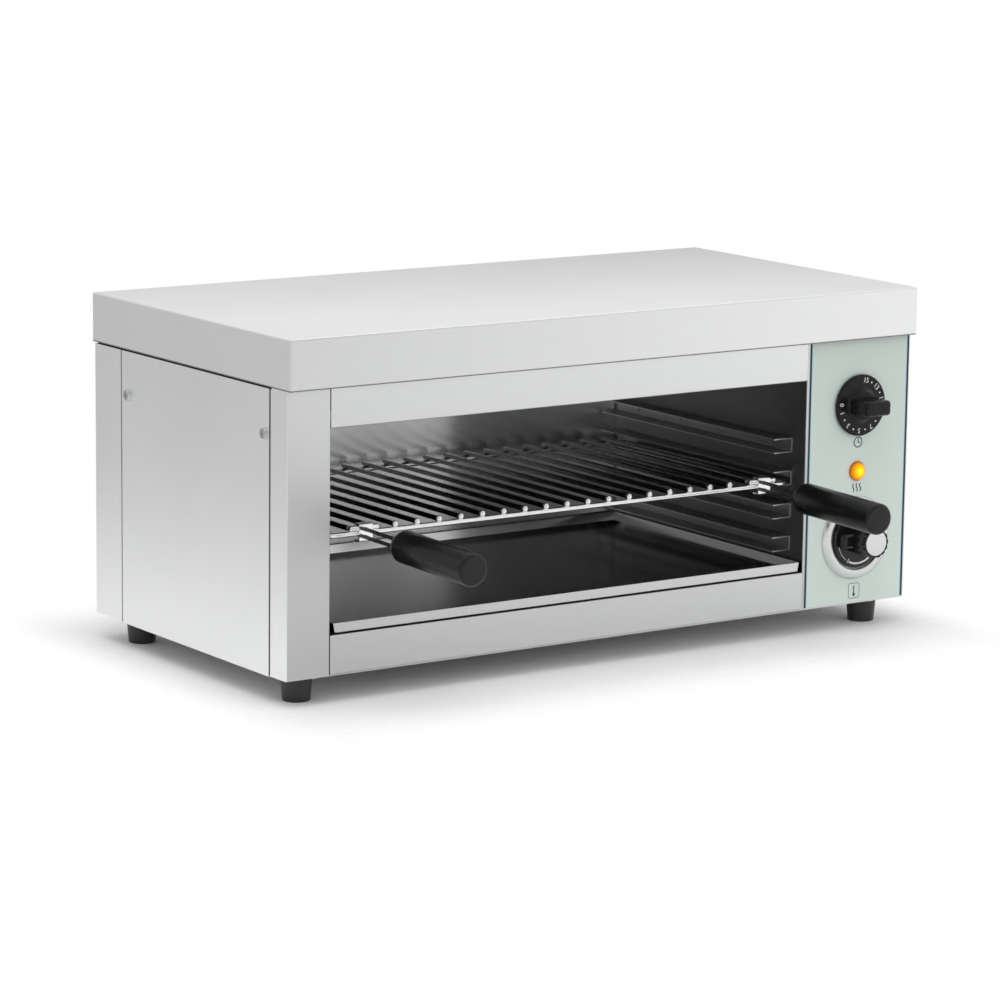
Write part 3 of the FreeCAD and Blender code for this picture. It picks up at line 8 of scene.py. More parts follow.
import bmesh
import bpy
from mathutils import Matrix, Vector


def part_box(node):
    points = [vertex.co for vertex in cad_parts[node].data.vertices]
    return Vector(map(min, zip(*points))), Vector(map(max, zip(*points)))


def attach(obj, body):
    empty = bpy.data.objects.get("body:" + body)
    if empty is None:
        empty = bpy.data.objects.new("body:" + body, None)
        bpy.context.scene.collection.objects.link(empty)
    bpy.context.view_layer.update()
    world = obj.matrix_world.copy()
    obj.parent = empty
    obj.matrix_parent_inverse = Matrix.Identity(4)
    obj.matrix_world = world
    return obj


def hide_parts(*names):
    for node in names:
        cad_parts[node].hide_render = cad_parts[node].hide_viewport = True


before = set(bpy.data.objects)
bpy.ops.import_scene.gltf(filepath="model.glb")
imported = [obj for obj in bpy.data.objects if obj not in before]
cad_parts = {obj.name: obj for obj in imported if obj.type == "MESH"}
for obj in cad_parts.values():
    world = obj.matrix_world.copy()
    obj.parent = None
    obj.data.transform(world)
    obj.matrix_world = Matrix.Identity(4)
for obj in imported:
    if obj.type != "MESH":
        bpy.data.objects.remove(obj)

LOG = logging.getLogger("cheese_melter")
MM = 0.001  # the pieces' sizes and places are in millimetres, the studio's in metres
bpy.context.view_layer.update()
OUTWARDS = Vector((0.0, -1.0, 0.0))
PRINT_RAISED = 0.05  # how far printed marks stand out, in millimetres
STEEP = 0.7  # a face whose normal has this share along an axis counts as facing it

Point = Sequence[float]
Outline = Sequence[tuple[float, float]]
Colour = tuple[float, float, float]
Socket = bpy.types.NodeSocket
Zones = Sequence[tuple[str, Callable[[Vector, Vector], bool]]]


class Axis(Enum):
    """The way a sheet's grain runs."""

    X = (1.0, 0.0, 0.0)
    Y = (0.0, 1.0, 0.0)
    Z = (0.0, 0.0, 1.0)


class Part(Enum):
    """The bodies that pieces ride on."""

    CASING = "casing"
    RACK = "rack"
    TRAY = "tray"
    TIMER = "timer"
    THERMOSTAT = "thermostat"


class Tree:
    """Short calls for wiring the nodes of one material or world."""

    def __init__(self, owner: bpy.types.Material | bpy.types.World) -> None:
        """Start on the nodes of a new material or world.

        Args:
            owner: the material or world.
        """
        owner.use_nodes = True
        self.owner = owner
        self.nodes = owner.node_tree.nodes
        self.links = owner.node_tree.links
        self.shader = self.nodes.get("Principled BSDF")

    def add(self, kind: str, inputs: dict | None = None, **settings: object) -> bpy.types.Node:
        """Add a node.

        Args:
            kind: the node's Blender type.
            inputs: plain values or sockets by the input's name or number.
            settings: properties of the node.

        Returns:
            The new node.
        """
        made = self.nodes.new(kind)
        for key, value in settings.items():
            setattr(made, key, value)
        for key, value in (inputs or {}).items():
            self.feed(made.inputs[key], value)
        return made

    def feed(self, socket: Socket, value: object) -> None:
        """Link a socket, or set its value.

        Args:
            socket: the input.
            value: what it gets, a plain value or another node's output.
        """
        if isinstance(value, Socket):
            self.links.new(value, socket)
        else:
            socket.default_value = value

    def set(self, **values: object) -> None:
        """Set or link inputs of the shader, with underscores in place of spaces."""
        for key, value in values.items():
            self.feed(self.shader.inputs[key.replace("_", " ")], value)

    def place(self, scale: Point = (1, 1, 1), shift: Point = (0, 0, 0)) -> Socket:
        """Object coordinates, scaled and shifted.

        Args:
            scale: pattern cells for each metre along the three axes.
            shift: what is added after scaling.

        Returns:
            The vector socket.
        """
        return self.add("ShaderNodeMapping", {"Vector": self.where(), "Scale": scale,
                                              "Location": shift}).outputs[0]

    def where(self) -> Socket:
        """Object coordinates, in metres."""
        return self.add("ShaderNodeTexCoord").outputs["Object"]

    def along(self, letter: str, vector: Socket | None = None) -> Socket:
        """One number of a vector, or else of the object coordinates."""
        whole = self.where() if vector is None else vector
        return self.add("ShaderNodeSeparateXYZ", {0: whole}).outputs[letter]

    def facing(self) -> Socket:
        """The way that the surface faces."""
        return self.add("ShaderNodeNewGeometry").outputs["Normal"]

    def noise(self, scale: float | Point, detail: float, rough: float) -> Socket:
        """A noise value between about 0.3 and 0.7.

        Args:
            scale: pattern cells for each metre, alike or along the three axes.
            detail: how many finer layers it has.
            rough: how strong those layers are.

        Returns:
            The value's socket.
        """
        cells = (scale,) * 3 if isinstance(scale, float) else scale
        return self.add("ShaderNodeTexNoise", {"Vector": self.place(cells), "Scale": 1.0, "Detail": detail,
                                               "Roughness": rough}).outputs["Fac"]

    def spread(self, value: Socket, low: float, high: float, start: float = 0.32,
               stop: float = 0.68) -> Socket:
        """Map a value from start and stop to low and high.

        Args:
            value: the incoming socket.
            low: result at start.
            high: result at stop.
            start: lower end of the incoming range.
            stop: upper end of the incoming range.

        Returns:
            The mapped socket.
        """
        return self.add("ShaderNodeMapRange", {"Value": value, "From Min": start, "From Max": stop,
                                               "To Min": low, "To Max": high}).outputs[0]

    def blend(self, factor: object, one: object, two: object) -> Socket:
        """Mix two colours.

        Args:
            factor: a number or socket.
            one: first colour, plain or a socket.
            two: second colour, plain or a socket.

        Returns:
            The colour socket.
        """
        node = self.nodes.new("ShaderNodeMix")
        node.data_type = "RGBA"
        for index, value in ((0, factor), (6, one), (7, two)):
            plain = not isinstance(value, Socket) and index > 0
            self.feed(node.inputs[index], (*value, 1.0) if plain and len(value) == 3 else value)
        return node.outputs[2]

    def maths(self, kind: str, one: object, two: object = 0.0, three: object = 0.0) -> Socket:
        """A sum of sockets or numbers."""
        return self.add("ShaderNodeMath", {0: one, 1: two, 2: three}, operation=kind).outputs[0]

    def dot(self, one: object, two: object) -> Socket:
        """How far one vector reaches along another."""
        return self.add("ShaderNodeVectorMath", {0: one, 1: two}, operation="DOT_PRODUCT").outputs["Value"]

    def scaled(self, vector: object, factor: object) -> Socket:
        """A vector or colour times a number."""
        return self.add("ShaderNodeVectorMath", {0: vector, 3: factor}, operation="SCALE").outputs["Vector"]

    def ramp(self, value: Socket, stops: Sequence[tuple[float, Colour]]) -> Socket:
        """A colour ramp.

        Args:
            value: the incoming socket.
            stops: position and colour of each stop.

        Returns:
            The colour socket.
        """
        node = self.add("ShaderNodeValToRGB", {"Fac": value})
        band = node.color_ramp.elements
        while len(band) < len(stops):
            band.new(0.5)
        for item, (at, colour) in zip(band, stops):
            item.position = at
            item.color = (*colour, 1.0)
        return node.outputs["Color"]

    def relief(self, height: Socket, strength: float, depth: float, under: dict | None = None) -> Socket:
        """Bump from a height.

        Args:
            height: the height's socket.
            strength: how much of it shows.
            depth: its depth in millimetres.
            under: the normal input, where it lies on another relief.

        Returns:
            The normal's socket.
        """
        return self.add("ShaderNodeBump", {"Height": height, "Strength": strength, "Distance": depth * MM,
                                           **(under or {})}).outputs["Normal"]

    def edges(self, width: float) -> Socket:
        """A mask that is 1 along sharp edges and 0 on flat faces.

        Args:
            width: reach of the mask in millimetres.

        Returns:
            The mask socket.
        """
        rounded = self.add("ShaderNodeBevel", {"Radius": width * MM}, samples=4).outputs["Normal"]
        return self.spread(self.dot(rounded, self.facing()), 1.0, 0.0, 0.80, 0.995)


def shaded(colour: Colour, factor: float, lift: float = 0.0, most: float = 1.0) -> Colour:
    """A colour made darker or paler.

    Args:
        colour: the colour.
        factor: what it is multiplied by.
        lift: what is added after that.
        most: the highest that each of its parts may be.

    Returns:
        The new colour.
    """
    return tuple(min(part * factor + lift, most) for part in colour)


@dataclass(frozen=True)
class Steel:
    """Ground or polished sheet steel: fine grain, faint clouds, painted edge highlights, light slope and
    shadow line.
    """

    name: str
    slot: str
    colour: Colour = (0.78, 0.79, 0.80)
    roughness: float = 0.36
    run: Axis = Axis.X
    grain: float = 0.06  # how much the grain varies in brightness
    cloud: float = 0.05  # how much the clouds do
    wave: float = 0.0  # depth of slow waves in the sheet
    edge: float = 0.7  # how strongly the painted highlight on sharp edges shows
    rim: float = 0.9  # width of the painted edge highlight
    brush: float = 0.01  # depth of the grain
    drift: Point = (0.0, 0.0, 0.0)  # painted light: change of brightness for each metre along the axes
    streak: float = 0.0  # how far reflections are stretched across the grain
    seam: float = 0.0  # height of the lower edge, just above which a painted shadow line lies
    vary: float = 0.12  # how much the roughness follows the grain
    lift: float = 1.3  # brightness of the painted edge highlight beside that of the sheet
    joints: tuple[float, ...] = ()  # depths at which dark joints cross the sheet
    drift_origin: Point = (0.0, 0.06, 0.14)  # where the painted light slope is nought, in metres
    seam_reach: tuple[float, float] = (0.4, 1.3)  # the painted shadow line is dark up to the first and gone at the second
    joint_reach: tuple[float, float] = (0.5, 1.0)  # the same for a joint, to both sides
    long_cells: float = 30.0  # pattern cells for each metre along the grain
    fine_cells: float = 1700.0  # the same across the grain

    def shade(self, tree: Tree, lines: Socket, clouds: Socket) -> Socket:
        """How bright the sheet is: grain, clouds, a painted light slope, a painted shadow line and dark
        joints.

        Args:
            tree: the material's tree.
            lines: the grain's noise.
            clouds: the clouds' noise.

        Returns:
            The socket of a factor for the colour.
        """
        shade = tree.maths("ADD", tree.spread(lines, 1.0 - self.grain, 1.0 + self.grain),
                           tree.spread(clouds, -self.cloud, self.cloud))
        # painted light: brightness sloping across the sheet
        if any(self.drift):
            where = tree.place(shift=[-part for part in self.drift_origin])
            shade = tree.maths("ADD", shade, tree.dot(where, self.drift))
        # painted shadow: a dark line just above the given lower edge
        if self.seam:
            start, stop = ((self.seam + reach) * MM for reach in self.seam_reach)
            shade = tree.maths("MULTIPLY", shade, tree.spread(tree.along("Z"), 0.05, 1.0, start, stop))
        for line in self.joints:
            depth = tree.maths("MULTIPLY", tree.along("Y"), 1 / MM)
            away = tree.maths("ABSOLUTE", tree.maths("SUBTRACT", depth, line))
            shade = tree.maths("MULTIPLY", shade, tree.spread(away, 0.3, 1.0, *self.joint_reach))
        return shade

    def build(self) -> bpy.types.Material:
        """Make the material.

        Returns:
            The finished material.
        """
        tree = Tree(bpy.data.materials.new(self.name))
        cells = [self.long_cells if part else self.fine_cells for part in self.run.value]
        lines = tree.noise(cells, 4.0, 0.6)
        clouds = tree.noise(9.0, 3.0, 0.5)
        colour = tree.scaled(self.colour, self.shade(tree, lines, clouds))
        # painted highlight: sharp edges are made paler
        if self.edge:
            painted_edge_highlight = tree.maths("MULTIPLY", tree.edges(self.rim), self.edge)
            colour = tree.blend(painted_edge_highlight, colour, shaded(self.colour, self.lift, most=0.97))
        rough = tree.maths("ADD", tree.spread(lines, self.roughness * (1.0 - self.vary),
                                              self.roughness * (1.0 + self.vary)),
                           tree.spread(clouds, -0.1 * self.roughness, 0.1 * self.roughness))
        normal = tree.relief(lines, 0.35, self.brush)
        if self.wave:
            swell = tree.noise((13.0, 13.0, 8.0), 1.0, 0.4)
            normal = tree.relief(swell, 1.0, self.wave, {"Normal": normal})
        if self.streak:
            across = tree.add("ShaderNodeVectorMath", {0: tree.facing(), 1: self.run.value},
                              operation="CROSS_PRODUCT")
            tree.set(Anisotropic=self.streak, Tangent=across.outputs["Vector"])
        tree.set(Base_Color=colour, Metallic=1.0, Roughness=rough, Normal=normal)
        return tree.owner


@dataclass(frozen=True)
class BrightWire:
    """Chromed or zinc-plated steel, smooth, with faint stains, and a painted highlight on top where given.
    """

    name: str
    slot: str
    colour: Colour = (0.84, 0.85, 0.86)
    roughness: float = 0.10
    stain: float = 0.8  # brightness of the stains beside that of the metal
    crown: float = 0.0  # painted highlight: brightness of what faces up, or nought where it is like the rest
    uneven: float = 0.5  # how much duller the stains are
    relief: float = 0.01  # depth of the fine texture

    def build(self) -> bpy.types.Material:
        """Make the material.

        Returns:
            The finished material.
        """
        tree = Tree(bpy.data.materials.new(self.name))
        stains = tree.noise(160.0, 3.0, 0.6)
        fine = tree.noise(1400.0, 2.0, 0.5)
        dull = shaded(self.colour, self.stain)
        colour = tree.blend(tree.spread(stains, 0.0, 1.0, 0.3, 0.55), dull, self.colour)
        # painted highlight: faces that look up are made paler
        if self.crown:
            rise = tree.along("Z", tree.facing())
            colour = tree.blend(tree.spread(rise, 0.0, 1.0, 0.76, 0.95), colour, (self.crown,) * 3)
        tree.set(Base_Color=colour, Metallic=1.0,
                 Roughness=tree.spread(stains, self.roughness * (1.0 + self.uneven), self.roughness),
                 Normal=tree.relief(fine, 0.2, self.relief))
        return tree.owner


@dataclass(frozen=True)
class Moulded:
    """Moulded plastic, rubber, ceramic or paint with a fine texture and paler edges: rubbed wear and a
    painted highlight.
    """

    name: str
    slot: str
    colour: Colour = (0.02, 0.02, 0.022)
    roughness: float = 0.4
    texture: float = 900.0  # cells of the fine texture for each metre
    relief: float = 0.02  # its depth
    rub: float = 0.25  # how strongly the paler edges show: rubbed wear and a painted highlight
    gloss: float = 0.0  # weight of a glaze
    shine: float = 0.5  # level of the reflections
    blotch: float = 1.0  # how much broad patches differ
    rim: float = 0.6  # width of a paler edge

    def build(self) -> bpy.types.Material:
        """Make the material.

        Returns:
            The finished material.
        """
        tree = Tree(bpy.data.materials.new(self.name))
        skin = tree.noise(self.texture, 3.0, 0.6)
        broad = tree.noise(45.0, 3.0, 0.5)
        low = shaded(self.colour, 1.0 - 0.15 * self.blotch)
        high = shaded(self.colour, 1.0 + 0.2 * self.blotch, 0.002 * self.blotch, 0.95)
        colour = tree.blend(tree.spread(broad, 0.0, 1.0), low, high)
        # paler sharp edges: rubbed wear together with a painted highlight
        if self.rub:
            rubbed_and_highlit = shaded(self.colour, 1.5, 0.03, 0.95)
            colour = tree.blend(tree.maths("MULTIPLY", tree.edges(self.rim), self.rub), colour, rubbed_and_highlit)
        rough = tree.maths("ADD", tree.spread(broad, self.roughness - 0.04 * self.blotch,
                                              self.roughness + 0.05 * self.blotch),
                           tree.spread(skin, -0.03, 0.03))
        tree.set(Base_Color=colour, Roughness=rough, Normal=tree.relief(skin, 0.4, self.relief),
                 Specular_IOR_Level=self.shine)
        if self.gloss:
            tree.set(Coat_Weight=self.gloss, Coat_Roughness=0.06)
        return tree.owner


@dataclass(frozen=True)
class PrintedFilm:
    """The control panel's plastic film, pale grey-green with dark blue and pale blue lines at its sides."""

    name: str
    slot: str
    left: float
    right: float
    colour: Colour = (0.625, 0.71, 0.665)
    line: Colour = (0.008, 0.030, 0.050)
    pale: Colour = (0.36, 0.56, 0.66)
    faded: Colour = (0.74, 0.79, 0.77)
    inset: float = 1.2  # dark line from the film's side
    pale_inset: float = 1.3  # pale line from the dark line
    line_width: float = 2.0
    pale_width: float = 0.7
    foot: float = 20.0  # painted shade: the film is lightest at this height
    head: float = 240.0  # and darkest at this one

    def stripe(self, tree: Tree, across: Socket, middle: float, width: float) -> Socket:
        """A mask for one upright line.

        Args:
            tree: the material's tree.
            across: the distance along the front, in millimetres.
            middle: the line's place.
            width: the line's width.

        Returns:
            The mask socket.
        """
        away = tree.maths("ABSOLUTE", tree.maths("SUBTRACT", across, middle))
        return tree.maths("LESS_THAN", away, width / 2)

    def build(self) -> bpy.types.Material:
        """Make the material.

        Returns:
            The finished material.
        """
        tree = Tree(bpy.data.materials.new(self.name))
        across = tree.maths("MULTIPLY", tree.along("X"), 1 / MM)
        specks = tree.noise(2600.0, 2.0, 0.5)
        broad = tree.noise(14.0, 2.0, 0.5)
        colour = tree.blend(tree.spread(specks, 0.0, 1.0), shaded(self.colour, 0.985),
                            shaded(self.colour, 1.015))
        colour = tree.blend(tree.spread(broad, 0.0, 0.12), colour, self.faded)
        # painted shade: the film darkens towards the top
        fade = tree.spread(tree.along("Z"), 1.12, 0.94, self.foot * MM, self.head * MM)
        colour = tree.scaled(colour, fade)
        for line, way in ((self.left + self.inset, 1.0), (self.right - self.inset, -1.0)):
            beside = line + way * self.pale_inset
            colour = tree.blend(self.stripe(tree, across, beside, self.pale_width), colour, self.pale)
            colour = tree.blend(self.stripe(tree, across, line, self.line_width), colour, self.line)
        tree.set(Base_Color=colour, Roughness=tree.spread(specks, 0.30, 0.38),
                 Normal=tree.relief(specks, 0.25, 0.01), Specular_IOR_Level=0.4)
        return tree.owner


@dataclass(frozen=True)
class LitLens:
    """The lit pilot lamp's amber lens, yellow in the middle and deep orange at its rim."""

    name: str
    slot: str
    middle: Point
    radius: float
    glow: Sequence[tuple[float, Colour]] = (
        (0.0, (1.0, 0.78, 0.04)), (0.34, (1.0, 0.66, 0.01)), (0.62, (0.96, 0.44, 0.0)),
        (0.86, (0.72, 0.27, 0.01)), (1.0, (0.50, 0.18, 0.02)))

    def build(self) -> bpy.types.Material:
        """Make the material.

        Returns:
            The finished material.
        """
        tree = Tree(bpy.data.materials.new(self.name))
        shift = tuple(-part / self.radius for part in self.middle)
        near = tree.place((1 / self.radius, 0.0, 1 / self.radius), (shift[0], 0.0, shift[2]))
        reach = tree.add("ShaderNodeVectorMath", {0: near}, operation="LENGTH").outputs["Value"]
        ripple = tree.noise(700.0, 2.0, 0.5)
        glow = tree.ramp(tree.maths("ADD", reach, tree.spread(ripple, -0.06, 0.06)), self.glow)
        body = tree.blend(0.55, glow, (0.02, 0.005, 0.0))
        tree.set(Base_Color=body, Roughness=tree.spread(ripple, 0.12, 0.2), Emission_Color=glow,
                 Emission_Strength=0.95, Specular_IOR_Level=0.12)
        return tree.owner


@dataclass(frozen=True)
class Ink:
    """Printed marks, a little uneven as screen printing is."""

    name: str
    slot: str
    colour: Colour

    def build(self) -> bpy.types.Material:
        """Make the material.

        Returns:
            The finished material.
        """
        tree = Tree(bpy.data.materials.new(self.name))
        grain = tree.noise(3000.0, 2.0, 0.6)
        colour = tree.blend(tree.spread(grain, 0.0, 1.0), shaded(self.colour, 0.9),
                            shaded(self.colour, 1.1, most=0.95))
        tree.set(Base_Color=colour, Roughness=tree.spread(grain, 0.38, 0.5),
                 Normal=tree.relief(grain, 0.2, 0.01))
        return tree.owner


def middle_of(node: str) -> Vector:
    """Middle of a CAD node's box, in millimetres."""
    low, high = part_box(node)
    return (low + high) / 2 / MM


FINISHES: dict[str, object] = {}
MADE: dict[str, bpy.types.Material] = {}


def finish(name: str) -> bpy.types.Material:
    """The material of a named finish, made when it is first asked for.

    Args:
        name: the finish's name.

    Returns:
        The material.
    """
    if name not in MADE:
        MADE[name] = FINISHES[name].build()
    return MADE[name]


def soften(part: bmesh.types.BMesh, width: float, segments: int = 3, least: float = 25.0) -> None:
    """Round the sharp edges of a form.

    Args:
        part: the form.
        width: size of the rounding.
        segments: steps of the rounding.
        least: smallest angle that counts as sharp, in degrees.
    """
    sharp = [edge for edge in part.edges if len(edge.link_faces) == 2
             and edge.calc_face_angle(0.0) > math.radians(least)]
    bevel(part, sharp, width, segments)


def bevel(part: bmesh.types.BMesh, edges: Sequence[bmesh.types.BMEdge], width: float, segments: int) -> None:
    """Round some edges of a form.

    Args:
        part: the form.
        edges: the edges.
        width: size of the rounding.
        segments: steps of the rounding.
    """
    bmesh.ops.bevel(part, geom=edges, offset=width, offset_type="OFFSET", segments=segments, profile=0.5,
                    affect="EDGES", material=-1, clamp_overlap=True)


class Shape:
    """A mesh in the making, in millimetres, built up from closed forms."""

    def __init__(self) -> None:
        """Start with nothing."""
        self.mesh = bmesh.new()

    def take(self, part: bmesh.types.BMesh, turn: Matrix) -> "Shape":
        """Add a finished form.

        Args:
            part: the form, which is used up.
            turn: where it goes.

        Returns:
            The shape itself.
        """
        bmesh.ops.remove_doubles(part, verts=part.verts, dist=1e-4)
        bmesh.ops.transform(part, matrix=turn, verts=part.verts)
        bmesh.ops.recalc_face_normals(part, faces=part.faces)
        return self.join(part)

    def join(self, part: bmesh.types.BMesh) -> "Shape":
        """Add a form as it is.

        Args:
            part: the form, which is used up.

        Returns:
            The shape itself.
        """
        holder = bpy.data.meshes.new("form")
        part.to_mesh(holder)
        part.free()
        self.mesh.from_mesh(holder)
        bpy.data.meshes.remove(holder)
        return self

    def turned(self, outline: Outline, at: Point, steps: int = 96, closed: bool = False, soft: float = 0.0,
               tilt: Matrix | None = None) -> "Shape":
        """A form turned about an axis that points out of the front.

        Args:
            outline: radius and distance along the axis of each corner.
            at: where the axis starts.
            steps: faces round the axis.
            closed: whether the outline is a ring's section.
            soft: rounding of its corners.
            tilt: a turn applied before it is moved to its place.

        Returns:
            The shape itself.
        """
        part = bmesh.new()
        corners = [part.verts.new((radius, 0.0, along)) for radius, along in outline]
        runs = [part.edges.new(pair) for pair in zip(corners, corners[1:])]
        if closed:
            runs.append(part.edges.new((corners[-1], corners[0])))
        bmesh.ops.spin(part, geom=corners + runs, cent=(0, 0, 0), axis=(0, 0, 1), angle=math.tau,
                       steps=steps, use_merge=True, use_duplicate=False)
        bmesh.ops.remove_doubles(part, verts=part.verts, dist=1e-4)
        if soft:
            soften(part, soft)
        aim = OUTWARDS.to_track_quat("Z", "X").to_matrix().to_4x4()
        return self.take(part, Matrix.Translation(Vector(at)) @ (tilt or Matrix.Identity(4)) @ aim)

    def rod(self, start: Point, stop: Point, radius: float, steps: int = 20, soft: float = 0.0) -> "Shape":
        """A straight round rod between two points.

        Args:
            start: one end.
            stop: the other end.
            radius: the rod's radius.
            steps: faces round it.
            soft: rounding of its ends.

        Returns:
            The shape itself.
        """
        run = Vector(stop) - Vector(start)
        part = bmesh.new()
        bmesh.ops.create_cone(part, cap_ends=True, cap_tris=False, segments=steps, radius1=radius,
                              radius2=radius, depth=run.length)
        if soft:
            soften(part, soft, least=60.0)
        aim = run.to_track_quat("Z", "Y").to_matrix().to_4x4()
        return self.take(part, Matrix.Translation((Vector(start) + Vector(stop)) / 2) @ aim)

    def bead(self, at: Point, size: Point, steps: int = 12) -> "Shape":
        """A rounded lump, such as a weld.

        Args:
            at: its middle.
            size: its half-widths along the three axes.
            steps: faces round it.

        Returns:
            The shape itself.
        """
        part = bmesh.new()
        bmesh.ops.create_uvsphere(part, u_segments=steps, v_segments=steps // 2, radius=1.0)
        return self.take(part, Matrix.Translation(Vector(at)) @ Matrix.Diagonal((*size, 1.0)))

    def block(self, low: Point, high: Point, soft: float, segments: int, narrow: float,
              turn: Matrix | None = None) -> "Shape":
        """A block with rounded edges.

        Args:
            low: lowest corner before it is turned.
            high: highest corner before it is turned.
            soft: rounding of its edges.
            segments: steps of the rounding.
            narrow: its size at the front as a share of that at the back.
            turn: where it goes.

        Returns:
            The shape itself.
        """
        part = bmesh.new()
        bmesh.ops.create_cube(part, size=1.0)
        size = Vector(high) - Vector(low)
        bmesh.ops.transform(part, matrix=Matrix.Diagonal((*size, 1.0)), verts=part.verts)
        front = [vert for vert in part.verts if vert.co.y < 0]
        bmesh.ops.scale(part, vec=(narrow, 1.0, narrow), verts=front)
        soften(part, soft, segments)
        middle = Matrix.Translation((Vector(low) + Vector(high)) / 2)
        return self.take(part, (turn or Matrix.Identity(4)) @ middle)

    def copied(self, node: str) -> "Shape":
        """Add a merged copy of a CAD node's mesh.

        Args:
            node: the node's name.

        Returns:
            The shape itself.
        """
        part = bmesh.new()
        part.from_mesh(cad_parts[node].data)
        bmesh.ops.scale(part, vec=(1 / MM,) * 3, verts=part.verts)
        bmesh.ops.remove_doubles(part, verts=part.verts, dist=2e-3)
        return self.join(part)

    def lettering(self, words: str, height: float, turn: Matrix, height_share: float = 0.72,
                  stroke_share: float = 0.006) -> "Shape":
        """Flat figures, a little raised.

        Args:
            words: what is printed.
            height: height of the figures.
            turn: where they go; they start upright in the plane of X and Y, facing up.
            height_share: height of a figure as a share of the type size.
            stroke_share: how much bolder the strokes are, as a share of the height.

        Returns:
            The shape itself.
        """
        curve = bpy.data.curves.new("figures", "FONT")
        curve.body = words
        curve.align_x = "CENTER"
        curve.align_y = "CENTER"
        curve.size = height / height_share
        curve.resolution_u = 3
        curve.extrude = PRINT_RAISED / 2
        curve.offset = stroke_share * height
        holder = bpy.data.objects.new("figures", curve)
        bpy.context.scene.collection.objects.link(holder)
        bpy.context.view_layer.update()
        flat = bpy.data.meshes.new_from_object(holder)
        bpy.data.objects.remove(holder)
        bpy.data.curves.remove(curve)
        part = bmesh.new()
        part.from_mesh(flat)
        bpy.data.meshes.remove(flat)
        return self.take(part, turn)

    def piece(self, name: str, body: Part, look: str, nodes: Iterable[str] = (), angle: float = 32.0,
              zones: Zones = ()) -> None:
        """Finish the mesh as a named piece.

        Args:
            name: the piece's name.
            body: the body that it rides on.
            look: its finish.
            nodes: the CAD nodes that it stands for.
            angle: edges sharper than this stay sharp, in degrees.
            zones: further finishes, each with a test of a face's middle and normal.
        """
        for face in self.mesh.faces:
            at, normal = face.calc_center_median(), face.normal
            fits = [number for number, zone in enumerate(zones, 1) if zone[1](at, normal)]
            face.material_index = fits[0] if fits else 0
        self.mesh.normal_update()
        for edge in self.mesh.edges:
            edge.smooth = not creased(edge, angle)
        bmesh.ops.scale(self.mesh, vec=(MM,) * 3, verts=self.mesh.verts)
        mesh = bpy.data.meshes.new(name)
        self.mesh.to_mesh(mesh)
        self.mesh.free()
        mesh.shade_smooth()
        made = bpy.data.objects.new(name, mesh)
        bpy.context.scene.collection.objects.link(made)
        for each in (look, *(zone[0] for zone in zones)):
            mesh.materials.append(finish(each))
        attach(made, body.value)
        if nodes:
            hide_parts(*nodes)
        LOG.info("%s: %d faces on %s", name, len(mesh.polygons), body.value)


def creased(edge: bmesh.types.BMEdge, angle: float, width: float = 1.6, ratio: float = 4.0) -> bool:
    """Tell whether shading breaks at an edge.

    It breaks at real corners, and between a broad flat face and the narrow faces of a rounding beside it, so
    that the rounding doesn't bend the flat face's shading.

    Args:
        edge: the edge, in millimetres.
        angle: edges sharper than this are corners, in degrees.
        width: faces wider than this count as broad.
        ratio: how many times narrower the faces of a rounding are.

    Returns:
        True where it breaks.
    """
    if len(edge.link_faces) != 2 or edge.calc_face_angle() > math.radians(angle):
        return True
    narrow, broad = sorted(2 * face.calc_area() / face.calc_perimeter() for face in edge.link_faces)
    return broad > width and broad > ratio * narrow


def dress(node: str, look: str) -> None:
    """Give a CAD node a finish.

    Args:
        node: the node's name.
        look: the finish's name.
    """
    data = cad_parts[node].data
    data.materials.clear()
    data.materials.append(finish(look))
    LOG.info("%s: dressed in %s", node, look)


def recast(node: str, look: str, body: Part, zones: Zones = ()) -> None:
    """Stand a smooth merged copy in a CAD node's place.

    Args:
        node: the node's name.
        look: the finish's name.
        body: the body that it rides on.
        zones: further finishes, each with a test of a face's middle and normal.
    """
    Shape().copied(node).piece(node + "_smooth", body, look, [node], zones=zones)


def facing(at: Point, angle: float = 0.0) -> Matrix:
    """A place on the front, facing outwards.

    Args:
        at: the place, in millimetres.
        angle: turn counter-clockwise as seen from the front, in degrees.

    Returns:
        The matrix that puts a flat figure there.
    """
    upright = Matrix.Rotation(math.radians(90), 4, "X")
    return Matrix.Translation(Vector(at)) @ upright @ Matrix.Rotation(math.radians(angle), 4, "Z")


def around(middle: tuple[float, float], radius: float, angle: float) -> tuple[float, float]:
    """A place on a circle on the front.

    Args:
        middle: the circle's middle, as a distance along the front and a height.
        radius: the circle's radius.
        angle: how far round, counter-clockwise from the right, in degrees.

    Returns:
        The place, as a distance along the front and a height.
    """
    turn = math.radians(angle)
    return middle[0] + radius * math.cos(turn), middle[1] + radius * math.sin(turn)


def quarter(steps: int) -> list[tuple[float, float]]:
    """Cosine and sine at even steps of a quarter turn, its start left out."""
    turns = [math.radians(90 / steps * step) for step in range(1, steps + 1)]
    return [(math.cos(turn), math.sin(turn)) for turn in turns]


def spot(radius: float) -> Outline:
    """Outline of a printed round spot."""
    return [(0, 0), (radius, 0), (radius, PRINT_RAISED), (0, PRINT_RAISED)]


def plate(radius: float, thick: float, rear: tuple[float, float], front: float) -> Outline:
    """Outline of a round plate with chamfered edges.

    Args:
        radius: the plate's radius.
        thick: its thickness.
        rear: chamfer of its rear edge, inwards and forwards.
        front: chamfer of its front edge.

    Returns:
        Radius and distance forwards of each corner.
    """
    return [(0, 0), (radius - rear[0], 0), (radius, rear[1]), (radius, thick - front),
            (radius - front, thick), (0, thick)]


